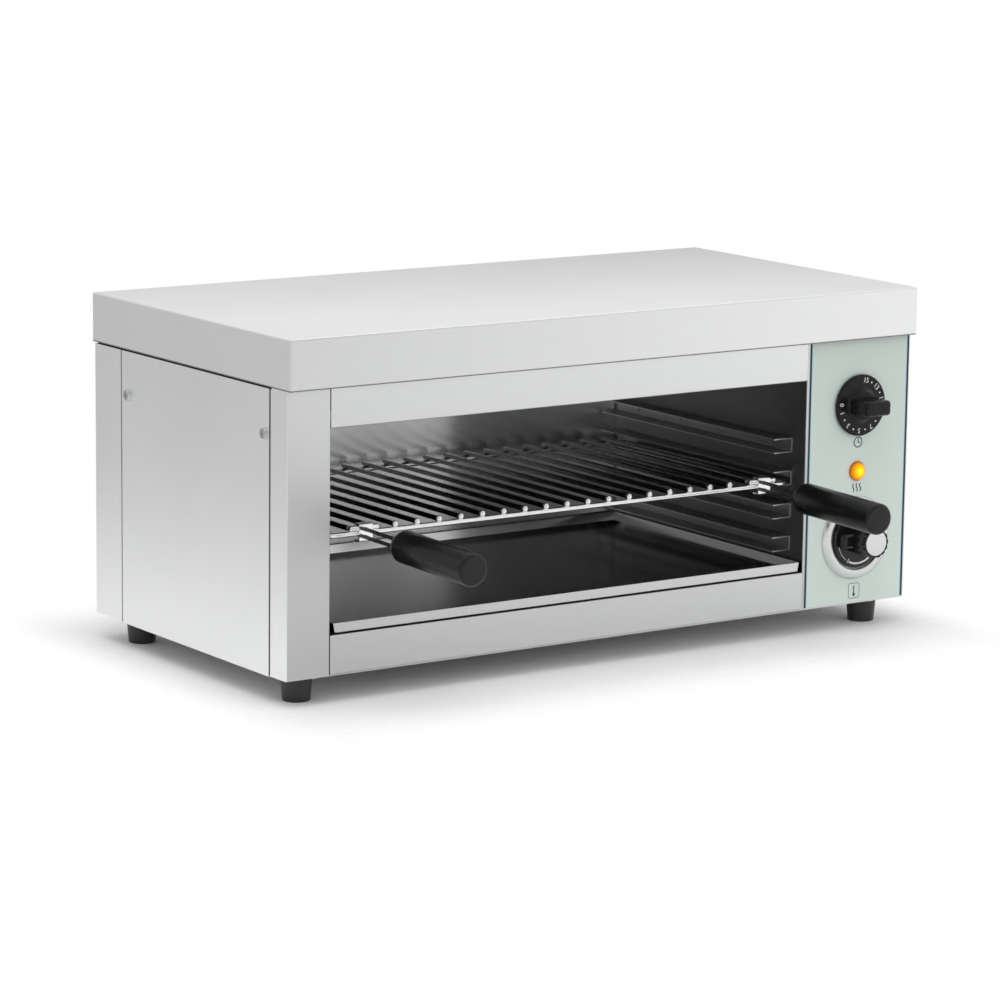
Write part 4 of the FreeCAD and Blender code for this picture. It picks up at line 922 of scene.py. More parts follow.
@dataclass
class Casing:
    """The outer sheets of the casing with their screws, feet and cord gland."""

    # Each sheet's finish is the same satin stainless at its own brightness: painted light and shade.
    sheets: dict[str, str] = field(default_factory=lambda: {
        "top_cover": "satin_top", "front_post_left": "satin_upright", "front_lintel": "satin_front",
        "front_sill": "satin_front", "control_panel": "satin_upright", "side_panel_left": "satin_side",
        "side_panel_right": "satin_side", "base_plate": "satin_front", "rear_panel": "satin_front"})
    fixings: dict[str, str] = field(default_factory=lambda: {
        "side_panel_screws": "zinc", "front_edge_screws": "zinc", "rear_panel_screws": "zinc",
        "cover_screws": "zinc", "foot_screws": "zinc", "foot_nuts": "zinc", "cable_gland": "black_plastic",
        "gland_lock_nut": "black_plastic", "earth_stud": "copper_alloy"})
    corners: tuple[str, ...] = ("foot_front_left", "foot_front_right", "foot_rear_left", "foot_rear_right")
    flank: float = 290.0
    panel_fold: float = 3.0
    panel_sheet: float = 1.2

    def build(self) -> None:
        """Dress the sheets, the fixings and the feet."""
        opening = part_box("front_sill")[1].x / MM
        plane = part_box("control_panel")[0].y / MM
        flank = ("satin_side", lambda at, normal: abs(normal.x) > STEEP and abs(at.x) > self.flank)
        # painted shade: the panel's return inside the opening gets the dark cavity steel
        inner = ("cavity_side", lambda at, normal: at.x < opening + self.panel_fold
                 and at.y > plane + self.panel_sheet)
        # The cover's sides and front band get satin at their own brightness: painted light and shade.
        zones = {"top_cover": [("satin_flap", lambda at, normal: abs(normal.x) > STEEP),
                               ("satin_band", lambda at, normal: abs(normal.z) < STEEP)],
                 "control_panel": [flank, inner],
                 # painted shade: the sill's upward faces get the dark cavity roof steel
                 "front_sill": [("cavity_roof", lambda at, normal: normal.z > 0.5)]}
        for node, look in {**self.sheets, **self.fixings}.items():
            sheet = [flank] if node in self.sheets else []
            recast(node, look, Part.CASING, zones=zones.get(node, sheet))
        for node in self.corners:
            recast(node, "rubber", Part.CASING)


@dataclass
class Cavity:
    """The grilling cavity: walls, runners, heating elements and what holds them."""

    walls: dict[str, str] = field(default_factory=lambda: {
        "cavity_back_wall": "cavity_back", "cavity_floor": "cavity_floor", "cavity_roof": "cavity_roof",
        "cavity_wall_left": "cavity_side", "cavity_wall_right": "cavity_side",
        # painted shade: the left runners get a darker copy of the runner steel
        "rack_runners_left": "cavity_runner_dark", "rack_runners_right": "cavity_runner"})
    fittings: dict[str, str] = field(default_factory=lambda: {
        "heating_element_front": "element_sheath", "heating_element_rear": "element_sheath",
        "element_bushings": "ceramic", "element_hanger_left": "zinc", "element_hanger_right": "zinc",
        "thermostat_sensor": "copper_alloy"})

    def build(self) -> None:
        """Dress the walls, the runners and the fittings."""
        for node, look in {**self.walls, **self.fittings}.items():
            recast(node, look, Part.CASING)


@dataclass
class DripTray:
    """The loose drip tray under the rack, its side and rear walls leaning a little outwards."""

    flare: float = 1.3
    foot: float = 2.0
    sheet: float = 1.0

    def build(self) -> None:
        """Lean the walls and dress the tray."""
        low, high = (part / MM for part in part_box("drip_tray"))
        shape = Shape().copied("drip_tray")
        for vert in shape.mesh.verts:
            if vert.co.z < low.z + self.foot:
                vert.co.x -= math.copysign(self.flare, vert.co.x - (low.x + high.x) / 2)
                vert.co.y -= self.flare if vert.co.y > (low.y + high.y) / 2 else 0.0
        shape.mesh.normal_update()
        middle = Vector(((low.x + high.x) / 2, (low.y + high.y) / 2, low.z))
        # painted light: the inner walls get a paler copy of the tray steel, and the front's outer face the
        # casing's satin
        inner = ("tray_wall", lambda at, normal: normal.z < STEEP and at.z > low.z + self.sheet
                 and (at - middle).dot(Vector((normal.x, normal.y, 0.0))) < 0.0)
        outer = ("satin_front", lambda at, normal: normal.y < -0.5 and at.y < low.y + self.sheet)
        shape.piece("drip_tray_smooth", Part.TRAY, "tray_steel", ["drip_tray"], zones=[inner, outer])


@dataclass
class Rack:
    """The sliding wire rack: bars, frame, brackets and the two handles."""

    bars: int = 21
    wire: float = 2.0
    wire_round: float = 1.3
    bar_height: float = 129.2
    end_weld: Point = (2.6, 2.1, 2.6)
    end_weld_lift: float = 0.2
    front_weld: Point = (2.7, 2.0, 0.9)
    rear_weld: Point = (2.7, 2.3, 0.9)
    bright_reach: float = 2.2  # the bars keep plain chrome this far behind the front rod; behind it, chrome darkened as painted shade
    pin_reach: float = 14.0  # bars nearer than this to a handle's pin end behind it
    pin_gap: float = 2.3  # such a bar's end from the front rod
    pin_half: float = 13.0
    pin_weld: Point = (1.7, 2.25, 2.25)
    pin_weld_inset: float = 1.2
    bracket_round: float = 0.35
    bracket_weld: Point = (1.5, 2.3, 2.3)
    bracket_weld_drop: float = 0.4
    pivot_weld: Point = (1.6, 2.2, 1.8)
    pivot_height: float = 125.2
    droop: float = 1.2
    grip_from: float = 47.5
    grip_to: float = 147.0
    grip_radius: float = 12.5
    neck_radius: float = 7.5
    neck_round: tuple[float, float] = (1.2, 0.6)  # outwards and forwards
    shoulder: tuple[float, float] = (0.9, 1.6)  # inwards and backwards from the taper's end
    taper: float = 8.0
    end_round: float = 2.8

    def build(self) -> None:
        """Make the bars and grips, and dress the rest."""
        recast("rack_frame", "chrome", Part.RACK)
        self.build_bars()
        for side in ("left", "right"):
            self.build_bracket(side)
            recast("handle_wire_" + side, "black_steel", Part.RACK)
            self.build_grip(side)

    def build_bars(self) -> None:
        """Bars with rounded ends, each welded to the rods that they cross."""
        low, high = (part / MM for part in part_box("rack_frame"))
        bar_low, bar_high = (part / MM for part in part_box("rack_bars"))
        left, right = low.x + self.wire, high.x - self.wire
        front, rear = low.y + self.wire, high.y - self.wire
        pitch = (right - left) / (self.bars + 1)
        pins = [middle_of("handle_pin_left").x, middle_of("handle_pin_right").x]
        shape = Shape()
        for number in range(1, self.bars + 1):
            x = left + pitch * number
            near_pin = min(abs(x - pin) for pin in pins) < self.pin_reach
            start = front + self.pin_gap if near_pin else bar_low.y
            shape.rod((x, start, self.bar_height), (x, bar_high.y, self.bar_height), self.wire, 16,
                      soft=self.wire_round)
            if not near_pin:
                at = (x, start + self.end_weld[1], self.bar_height + self.end_weld_lift)
                shape.bead(at, self.end_weld, 14)
                shape.bead((x, front, self.bar_height - self.wire), self.front_weld)
            shape.bead((x, rear, self.bar_height - self.wire), self.rear_weld)
        # painted shade: the bars are chrome darkened for the cavity, with plain chrome at their front ends
        shape.piece("rack_bars_welded", Part.RACK, "rack_wire_painted_shade", ["rack_bars"], angle=50.0,
                    zones=[("chrome", lambda at, normal: at.y < front + self.bright_reach)])

    def build_bracket(self, side: str) -> None:
        """One handle's folded bracket with its cross pin and welds.

        Args:
            side: left or right.
        """
        low, high = (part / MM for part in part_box("handle_bracket_" + side))
        pin_low, pin_high = (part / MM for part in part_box("handle_pin_" + side))
        pin, middle = (pin_low + pin_high) / 2, (low + high) / 2
        shape = Shape().copied("handle_bracket_" + side)
        bmesh.ops.dissolve_limit(shape.mesh, angle_limit=math.radians(1), verts=shape.mesh.verts,
                                 edges=shape.mesh.edges)
        soften(shape.mesh, self.bracket_round, segments=2, least=50.0)
        shape.rod((pin_low.x, pin.y, pin.z), (pin_high.x, pin.y, pin.z), self.wire, 20, soft=self.wire_round)
        for way in (-1, 1):
            edge = middle.x + way * (high.x - low.x) / 2
            end = pin.x + way * (self.pin_half - self.pin_weld_inset)
            shape.bead((edge, pin.y, pin.z - self.bracket_weld_drop), self.bracket_weld, 14)
            shape.bead((edge, pin.y, self.pivot_height), self.pivot_weld, 14)
            shape.bead((end, pin.y, pin.z), self.pin_weld, 14)
        shape.piece("handle_bracket_welded_" + side, Part.RACK, "chrome",
                    ["handle_bracket_" + side, "handle_pin_" + side], angle=40.0)

    def build_grip(self, side: str) -> None:
        """One handle's moulded grip.

        Args:
            side: left or right.
        """
        x = middle_of("handle_grip_" + side).x
        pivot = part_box("rack_frame")[0].y / MM
        reach = self.grip_to - self.grip_from
        outline = [(0.0, 0.0), (self.neck_radius, 0.0),
                   (self.neck_radius + self.neck_round[0], self.neck_round[1]),
                   (self.grip_radius - self.shoulder[0], self.taper - self.shoulder[1]),
                   (self.grip_radius, self.taper), (self.grip_radius, reach / 2),
                   (self.grip_radius, reach - self.end_round)]
        for along, aside in quarter(6):
            outline.append((self.grip_radius + self.end_round * (along - 1),
                            reach + self.end_round * (aside - 1)))
        outline.append((0.0, reach))
        start = Matrix.Translation((0, -self.grip_from, 0))
        tilt = Matrix.Rotation(math.radians(self.droop), 4, "X") @ start
        shape = Shape().turned(outline, (x, pivot, self.pivot_height), 64, tilt=tilt)
        shape.piece("handle_grip_moulded_" + side, Part.RACK, "grip", ["handle_grip_" + side], angle=40.0)


@dataclass
class TimerControl:
    """The timer's dial with its figures, and its turning wing."""

    disc: float = 25.25
    thick: float = 3.2
    rear_edge: tuple[float, float] = (0.6, 0.6)  # inwards and forwards
    front_edge: float = 0.9
    disc_round: float = 0.25
    reach: float = 26.0
    hub_foot: float = 15.5
    hub_top: float = 11.5
    hub_rise: float = 6.4
    hub_sunk: float = 0.5
    hub_lip: float = 0.05
    hub_lower: tuple[float, float] = (1.2, 1.0)  # inwards and forwards from the hub's foot
    hub_upper: tuple[float, float] = (0.9, 1.0)  # outwards and backwards from its top
    hub_round: float = 0.5
    wing_long: float = 27.0
    wing_wide: float = 13.0
    wing_round: float = 3.0
    wing_taper: float = 0.95
    figure_height: float = 4.2
    figures: int = 15
    dot: float = 0.75
    ring: float = 20.6
    zero_angle: float = 175.0
    first_angle: float = 194.0
    minute: float = 17.5  # degrees for each minute

    def build(self) -> None:
        """Make the knob, print its figures and dress the shaft and the clockwork."""
        shaft = middle_of("timer_shaft")
        self.x, self.z = shaft.x, shaft.z
        self.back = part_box("timer_knob")[1].y / MM
        recast("timer_shaft", "zinc", Part.TIMER)
        recast("timer_clockwork", "black_plastic", Part.CASING)
        self.build_knob()
        self.build_figures()

    def build_knob(self) -> None:
        """Disc, hub and wing."""
        at = (self.x, self.back, self.z)
        shape = Shape()
        shape.turned(plate(self.disc, self.thick, self.rear_edge, self.front_edge), at, soft=self.disc_round)
        hub = [(0, self.thick - self.hub_sunk), (self.hub_foot, self.thick - self.hub_sunk),
               (self.hub_foot, self.thick + self.hub_lip),
               (self.hub_foot - self.hub_lower[0], self.thick + self.hub_lower[1]),
               (self.hub_top + self.hub_upper[0], self.hub_rise - self.hub_upper[1]),
               (self.hub_top, self.hub_rise), (0, self.hub_rise)]
        shape.turned(hub, at, soft=self.hub_round)
        half, wide = self.wing_long / 2, self.wing_wide / 2
        shape.block((self.x - half, self.back - self.reach, self.z - wide),
                    (self.x + half, self.back - self.thick, self.z + wide),
                    self.wing_round, 5, self.wing_taper)
        shape.piece("timer_knob_moulded", Part.TIMER, "knob", ["timer_knob"], angle=40.0)

    def build_figures(self) -> None:
        """Figures for every second minute, with dots between them."""
        face = self.back - self.thick
        shape = Shape()
        angles = [self.zero_angle] + [self.first_angle + self.minute * step for step in range(self.figures)]
        for number, angle in enumerate(angles):
            x, z = around((self.x, self.z), self.ring, angle)
            if number == 0 or number % 2 == 1:
                turn = facing((x, face - PRINT_RAISED / 2, z), angle - 90)
                shape.lettering(str(number), self.figure_height, turn)
            else:
                shape.turned(spot(self.dot), (x, face, z), steps=20)
        shape.piece("timer_figures", Part.TIMER, "white_ink")


@dataclass
class ThermostatControl:
    """The thermostat's bezel and its knob with a pale end disc."""

    skirt: float = 24.5
    skirt_thick: float = 3.5
    rear_edge: tuple[float, float] = (0.5, 0.6)  # inwards and forwards
    front_edge: float = 1.2
    skirt_round: float = 0.35
    bar_long: float = 43.0
    bar_wide: float = 12.0
    bar_reach: float = 12.0
    bar_sunk: float = 0.5
    bar_round: float = 2.2
    bar_taper: float = 0.95
    grip: float = 12.5
    grip_rim: float = 1.7
    grip_hollow: float = 1.2
    grip_round: float = 0.45
    reach: float = 27.0
    flutes: int = 14
    flute_share: float = 0.94
    cap: Outline = ((0, 0), (10.55, 0), (10.55, 0.9), (10.3, 1.15), (0, 1.2))  # radius, forwards
    cap_round: float = 0.1
    bezel: float = 34.5
    bezel_side: Outline = ((1.3, 0), (0.3, 0), (0, 0.5), (0.5, 1.6), (1.8, 2.7))  # inwards, forwards
    bezel_crown: Outline = ((3.6, 0.45), (5.4, 0.1))  # inwards, and backwards from the front
    bezel_inside: Outline = ((0.9, 1.3), (3.2, 1.6))  # outwards and inwards, and backwards
    opening: float = 26.0
    opening_lip: Outline = ((1.4, 0), (0.3, 0.4), (0, 1.0))  # outwards, and backwards from the front
    opening_foot: float = 0.3
    arcs: tuple[Point, ...] = ((186.0, 236.0, 0.45), (244.0, 305.0, 1.5))  # start and stop angle, width
    arc_radius: float = 20.6
    arc_lift: float = 0.02
    tick: tuple[float, float] = (18.2, 22.4)  # radius of its two ends
    tick_angle: float = 240.0
    tick_lift: float = 0.03
    tick_radius: float = 0.3

    def build(self) -> None:
        """Make the bezel, the knob and its marks, and dress the rest."""
        shaft = middle_of("thermostat_shaft")
        self.x, self.z = shaft.x, shaft.z
        self.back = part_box("thermostat_knob")[1].y / MM
        recast("thermostat_shaft", "zinc", Part.THERMOSTAT)
        recast("thermostat_body", "black_plastic", Part.CASING)
        self.build_bezel()
        self.build_knob()
        self.build_marks()

    def build_bezel(self) -> None:
        """The silver ring round the knob."""
        low, high = (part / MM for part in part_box("thermostat_bezel"))
        rise = high.y - low.y
        wall, root = self.bezel_inside
        outline = [(self.bezel - inwards, ahead) for inwards, ahead in self.bezel_side]
        outline += [(self.bezel - inwards, rise - behind) for inwards, behind in self.bezel_crown]
        outline += [(self.opening + outwards, rise - behind) for outwards, behind in self.opening_lip]
        outline += [(self.opening, self.opening_foot), (self.opening + wall[0], self.opening_foot),
                    (self.opening + wall[0], rise - wall[1]), (self.bezel - root[0], rise - root[1])]
        shape = Shape().turned(outline, (self.x, high.y, self.z), closed=True, steps=128)
        shape.piece("thermostat_bezel_ring", Part.CASING, "silver", ["thermostat_bezel"], angle=50.0)

    def build_knob(self) -> None:
        """Skirt, bar, fluted grip and end disc."""
        at = (self.x, self.back, self.z)
        shape = Shape()
        shape.turned(plate(self.skirt, self.skirt_thick, self.rear_edge, self.front_edge), at,
                     soft=self.skirt_round)
        half, wide = self.bar_long / 2, self.bar_wide / 2
        shape.block((self.x - wide, self.back - self.bar_reach, self.z - half),
                    (self.x + wide, self.back - self.skirt_thick + self.bar_sunk, self.z + half),
                    self.bar_round, 4, self.bar_taper, self.about(90.0))
        shape.take(self.fluted(), facing((self.x, self.back - self.skirt_thick, self.z)))
        shape.piece("thermostat_knob_moulded", Part.THERMOSTAT, "knob_glossy", ["thermostat_knob"],
                    angle=40.0)
        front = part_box("thermostat_knob_cap")[0].y / MM + self.cap[-1][1]
        cap = Shape().turned(self.cap, (self.x, front, self.z), steps=72, soft=self.cap_round)
        cap.piece("thermostat_end_disc", Part.THERMOSTAT, "silver_disc", ["thermostat_knob_cap"], angle=50.0)

    def fluted(self) -> bmesh.types.BMesh:
        """The knob's fluted grip with its hollow end.

        Returns:
            The form, standing on the plane of X and Y.
        """
        part = bmesh.new()
        bmesh.ops.create_circle(part, cap_ends=True, segments=self.flutes * 6, radius=self.grip)
        dips = [vert for index, vert in enumerate(part.verts) if index % 6 in (0, 1)]
        bmesh.ops.scale(part, vec=(self.flute_share, self.flute_share, 1), verts=dips)
        grown = bmesh.ops.extrude_face_region(part, geom=list(part.faces))
        top = [item for item in grown["geom"] if isinstance(item, bmesh.types.BMVert)]
        bmesh.ops.translate(part, vec=(0, 0, self.reach - self.skirt_thick), verts=top)
        face = [item for item in grown["geom"] if isinstance(item, bmesh.types.BMFace)]
        bmesh.ops.recalc_face_normals(part, faces=part.faces)
        bmesh.ops.inset_region(part, faces=face, thickness=self.grip_rim)
        bmesh.ops.translate(part, vec=(0, 0, -self.grip_hollow), verts=face[0].verts)
        soften(part, self.grip_round, segments=2, least=40.0)
        return part

    def about(self, angle: float) -> Matrix:
        """A turn about the knob's axis."""
        centre = Matrix.Translation((self.x, 0.0, self.z))
        return centre @ Matrix.Rotation(math.radians(angle), 4, "Y") @ centre.inverted()

    def build_marks(self) -> None:
        """The printed arcs on the skirt, and the tick between them."""
        face = self.back - self.skirt_thick
        shape = Shape()
        for start, stop, width in self.arcs:
            part = bmesh.new()
            near = part.verts.new((self.arc_radius - width / 2, 0, 0))
            far = part.verts.new((self.arc_radius + width / 2, 0, 0))
            edge = part.edges.new((near, far))
            bmesh.ops.spin(part, geom=[near, far, edge], cent=(0, 0, 0), axis=(0, 0, 1),
                           angle=math.radians(stop - start), steps=24)
            bmesh.ops.solidify(part, geom=list(part.faces), thickness=PRINT_RAISED)
            shape.take(part, facing((self.x, face - self.arc_lift, self.z), start))
        ends = [around((self.x, self.z), radius, self.tick_angle) for radius in self.tick]
        start, stop = ((x, face - self.tick_lift, z) for x, z in ends)
        shape.rod(start, stop, self.tick_radius, 8)
        shape.piece("thermostat_marks", Part.THERMOSTAT, "white_ink")


@dataclass
class ControlPanel:
    """The printed film, its signs, the pilot lamp and the parts behind the panel."""

    shift: float = 0.5  # the signs from the controls' middle
    clock_height: float = 155.6
    clock_ring: tuple[float, float] = (4.1, 1.0)  # radius and width
    clock_hands: Outline = ((0.0, 2.7), (2.0, -0.5))
    stroke: float = 0.9
    end_share: float = 0.45
    waves_height: float = 118.0
    wave_pitch: float = 3.6
    wave_swing: float = 0.75
    wave_foot: float = 3.1
    wave_length: float = 6.2
    wave_steps: int = 12
    sign_height: float = 32.0
    sign_half: tuple[float, float] = (5.6, 6.2)
    sign_corner: float = 2.0
    sign_stroke: float = 0.45
    tube: tuple[float, float] = (-2.6, 3.9)
    tube_width: float = 1.0
    scale_marks: tuple[float, ...] = (2.9, 1.5)
    scale_reach: tuple[float, float] = (-1.5, -0.9)
    scale_width: float = 0.35
    bulb: float = 1.35
    bulb_drop: float = 3.2
    lens_rim_share: float = 0.30
    rim_reach: float = 0.01

    def build(self) -> None:
        """Dress the film, print the signs, and make the lamp."""
        self.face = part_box("panel_film")[0].y / MM
        self.x = middle_of("timer_shaft").x + self.shift
        dress("panel_film", "film")
        self.print_clock()
        self.print_waves()
        self.print_thermometer()
        self.build_lamp()
        for node, look in (("terminal_block", "white_plastic"), ("internal_leads", "lead_sleeve")):
            recast(node, look, Part.CASING)

    def ring(self, shape: Shape, x: float, z: float, radius: float, width: float) -> None:
        """A printed ring.

        Args:
            shape: the shape that it is added to.
            x: middle of the ring along the front.
            z: height of its middle.
            radius: its middle radius.
            width: width of the line.
        """
        inner, outer = radius - width / 2, radius + width / 2
        outline = [(inner, 0), (outer, 0), (outer, PRINT_RAISED), (inner, PRINT_RAISED)]
        shape.turned(outline, (x, self.face, z), steps=48, closed=True)

    def line(self, shape: Shape, start: Point, stop: Point, width: float) -> None:
        """A printed straight line with round ends.

        Args:
            shape: the shape that it is added to.
            start: one end, as a distance along the front and a height.
            stop: the other end.
            width: width of the line.
        """
        run = Vector((stop[0] - start[0], stop[1] - start[1]))
        angle = math.degrees(math.atan2(run.y, run.x))
        size = Matrix.Diagonal((run.length + width, width, PRINT_RAISED, 1))
        part = bmesh.new()
        bmesh.ops.create_cube(part, size=1.0)
        bmesh.ops.transform(part, matrix=size, verts=part.verts)
        upright = [edge for edge in part.edges
                   if abs(edge.verts[0].co.z - edge.verts[1].co.z) > PRINT_RAISED / 2]
        bevel(part, upright, width * self.end_share, 4)
        middle = ((start[0] + stop[0]) / 2, self.face - PRINT_RAISED / 2, (start[1] + stop[1]) / 2)
        shape.take(part, facing(middle, angle))

    def path(self, shape: Shape, points: Outline, width: float) -> None:
        """A printed line through several points.

        Args:
            shape: the shape that it is added to.
            points: its points, each a distance along the front and a height.
            width: width of the line.
        """
        for start, stop in zip(points, points[1:]):
            self.line(shape, start, stop, width)

    def print_clock(self) -> None:
        """A small clock under the timer."""
        shape = Shape()
        x, z = self.x, self.clock_height
        self.ring(shape, x, z, *self.clock_ring)
        for across, rise in self.clock_hands:
            self.line(shape, (x, z), (x + across, z + rise), self.stroke)
        shape.piece("clock_sign", Part.CASING, "blue_ink")

    def print_waves(self) -> None:
        """Three rising heat waves under the pilot lamp."""
        shape = Shape()
        shares = [step / self.wave_steps for step in range(self.wave_steps + 1)]
        foot = self.waves_height - self.wave_foot
        for way in (-1, 0, 1):
            x = self.x + way * self.wave_pitch
            points = [(x + self.wave_swing * math.sin(share * math.tau), foot + self.wave_length * share)
                      for share in shares]
            self.path(shape, points, self.stroke)
        shape.piece("heat_sign", Part.CASING, "blue_ink")

    def print_thermometer(self) -> None:
        """A thermometer in a rounded frame under the thermostat."""
        shape = Shape()
        x, z = self.x, self.sign_height
        wide, tall = self.sign_half
        corner, stroke = self.sign_corner, self.sign_stroke
        for way in (-1, 1):
            level, side = z + way * tall, x + way * wide
            self.line(shape, (x - wide + corner, level), (x + wide - corner, level), stroke)
            self.line(shape, (side, z - tall + corner), (side, z + tall - corner), stroke)
            for other in (-1, 1):
                middle = (x + way * (wide - corner), z + other * (tall - corner))
                points = [(middle[0] + way * corner * across, middle[1] + other * corner * rise)
                          for across, rise in [(1.0, 0.0), *quarter(6)]]
                self.path(shape, points, stroke)
        self.line(shape, (x, z + self.tube[0]), (x, z + self.tube[1]), self.tube_width)
        for mark in self.scale_marks:
            ends = [(x + reach, z + mark) for reach in self.scale_reach]
            self.line(shape, *ends, self.scale_width)
        shape.turned(spot(self.bulb), (x, self.face, z - self.bulb_drop), steps=28)
        shape.piece("thermometer_sign", Part.CASING, "black_ink")

    def build_lamp(self) -> None:
        """The lamp's lens with its rim, and its holder and nut."""
        low, high = (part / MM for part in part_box("pilot_lamp_lens"))
        middle = (low + high) / 2
        rise = high.y - low.y
        radius = (high.x - low.x) / 2
        rim = self.lens_rim_share
        outline = [(0.0, 0.0), (radius, 0.0), (radius, rise * rim)]
        outline += [(radius * along, rise * (rim + (1 - rim) * ahead)) for along, ahead in quarter(8)]
        lens = Shape().turned(outline, (middle.x, high.y, middle.z), steps=64)
        lens.piece("pilot_lens_domed", Part.CASING, "amber", ["pilot_lamp_lens"], angle=60.0)
        recast("pilot_lamp_holder", "black_plastic", Part.CASING,
               zones=[("amber_rim", lambda at, normal: at.y < self.face + self.rim_reach)])
        recast("pilot_lamp_nut", "zinc", Part.CASING)


@dataclass
class Studio:
    """Pale floor, soft light and the camera."""

    place: tuple[float, float, float] = (-1.8526, -2.61219, 0.7184)
    yaw: float = 34.630
    pitch: float = 10.641
    roll: float = -0.739
    lens: float = 146.66
    world: float = 0.66
    sensor: float = 36.0
    clip: tuple[float, float] = (0.05, 60.0)
    floor_radius: float = 9.0
    footprint_half: tuple[float, float] = (0.299, 0.146)
    footprint_depth: float = 0.0605
    side_pull: float = 2.2
    shadow: tuple[float, float] = (0.008, 0.125)  # the floor turns white between these distances
    mirror: tuple[float, float] = (0.10, 1.10)  # and between these in reflections
    bright_way: tuple[float, float, float] = (0.62, -0.72, 0.31)  # where reflections see most light
    dim: float = 0.53  # level of reflections the other way
    bright: float = 1.02  # their level that way
    overhead: float = 0.14  # what is added straight above
    canopy: float = 0.95  # how strongly it falls off above the front
    lamps: tuple[tuple[str, Point, float, float], ...] = (  # name, place, size and power
        ("key", (-0.9, -0.5, 3.0), 2.4, 33.0), ("fill", (1.6, -2.4, 2.0), 2.0, 14.0))
    lamps_aim: Point = (0.0, 0.0, 0.12)

    def build(self) -> None:
        """Set the stage."""
        self.build_floor()
        self.build_world()
        self.build_lamps()
        self.build_camera()
        bpy.context.scene.view_settings.view_transform = "Standard"

    def build_floor(self) -> None:
        """A wide pale floor that turns to plain white away from the object."""
        part = bmesh.new()
        bmesh.ops.create_circle(part, cap_ends=True, segments=96, radius=self.floor_radius)
        mesh = bpy.data.meshes.new("floor")
        part.to_mesh(mesh)
        part.free()
        floor = bpy.data.objects.new("floor", mesh)
        bpy.context.scene.collection.objects.link(floor)
        tree = Tree(bpy.data.materials.new("floor_paper"))
        fibres = tree.noise(420.0, 3.0, 0.6)
        paper = tree.blend(tree.spread(fibres, 0.0, 1.0), (0.955,) * 3, (0.975,) * 3)
        tree.set(Base_Color=paper, Roughness=0.9, Specular_IOR_Level=0.0)
        away = self.distance(tree)
        path = tree.add("ShaderNodeLightPath").outputs
        seen = tree.maths("MULTIPLY", self.smooth(tree, away, self.shadow), path["Is Camera Ray"])
        mirrored = tree.maths("MULTIPLY", self.smooth(tree, away, self.mirror), path["Is Glossy Ray"])
        clear = tree.add("ShaderNodeBsdfTransparent").outputs[0]
        mixed = tree.add("ShaderNodeMixShader", {0: tree.maths("MAXIMUM", seen, mirrored),
                                                 1: tree.shader.outputs[0], 2: clear})
        tree.links.new(mixed.outputs[0], tree.nodes["Material Output"].inputs["Surface"])
        mesh.materials.append(tree.owner)

    def distance(self, tree: Tree) -> Socket:
        """Distance on the floor from the object's footprint, in metres, stretched at its sides.

        Args:
            tree: the floor material's tree.

        Returns:
            The distance's socket.
        """
        half_wide, half_deep = self.footprint_half
        side = tree.maths("SUBTRACT", tree.maths("ABSOLUTE", tree.along("X")), half_wide)
        side = tree.maths("MULTIPLY", tree.maths("MAXIMUM", side, 0.0), self.side_pull)
        ahead = tree.maths("ABSOLUTE", tree.maths("SUBTRACT", tree.along("Y"), self.footprint_depth))
        ahead = tree.maths("MAXIMUM", tree.maths("SUBTRACT", ahead, half_deep), 0.0)
        return tree.maths("SQRT", tree.maths("ADD", tree.maths("MULTIPLY", side, side),
                                             tree.maths("MULTIPLY", ahead, ahead)))

    def smooth(self, tree: Tree, value: Socket, reach: tuple[float, float]) -> Socket:
        """A soft step from 0 at the start of a reach to 1 at its end."""
        return tree.add("ShaderNodeMapRange", {"Value": value, "From Min": reach[0], "From Max": reach[1]},
                        interpolation_type="SMOOTHSTEP").outputs[0]

    def build_world(self) -> None:
        """A pale surround, plain white where the camera sees it, and softly graded in reflections."""
        world = bpy.data.worlds.new("studio")
        bpy.context.scene.world = world
        tree = Tree(world)
        tree.nodes.clear()
        path = tree.add("ShaderNodeLightPath").outputs
        where = tree.add("ShaderNodeTexCoord").outputs["Generated"]
        level = tree.spread(tree.dot(where, self.bright_way), self.dim, self.bright, -1.0, 1.0)
        rise = tree.maths("MAXIMUM", tree.along("Z", where), 0.0)
        ahead = tree.maths("MINIMUM", tree.along("Y", where), 0.0)
        level = tree.maths("MULTIPLY_ADD", rise, self.overhead, level)
        level = tree.maths("MULTIPLY_ADD", tree.maths("MULTIPLY", rise, ahead), self.canopy, level)
        light, plain, shiny = (
            tree.add("ShaderNodeBackground", {"Color": (1, 1, 1, 1), "Strength": strength}).outputs[0]
            for strength in (self.world, 1.0, level))
        first = tree.add("ShaderNodeMixShader", {0: path["Is Glossy Ray"], 1: light, 2: shiny}).outputs[0]
        second = tree.add("ShaderNodeMixShader", {0: path["Is Camera Ray"], 1: first, 2: plain}).outputs[0]
        tree.add("ShaderNodeOutputWorld", {"Surface": second})

    def build_lamps(self) -> None:
        """Two soft panels, one above the front left and one at the right."""
        for name, at, size, power in self.lamps:
            lamp = bpy.data.lights.new(name, "AREA")
            lamp.shape = "SQUARE"
            lamp.size = size
            lamp.energy = power
            holder = bpy.data.objects.new(name, lamp)
            holder.visible_glossy = False
            holder.location = at
            aim = Vector(self.lamps_aim) - Vector(at)
            holder.rotation_euler = aim.to_track_quat("-Z", "Y").to_euler()
            bpy.context.scene.collection.objects.link(holder)

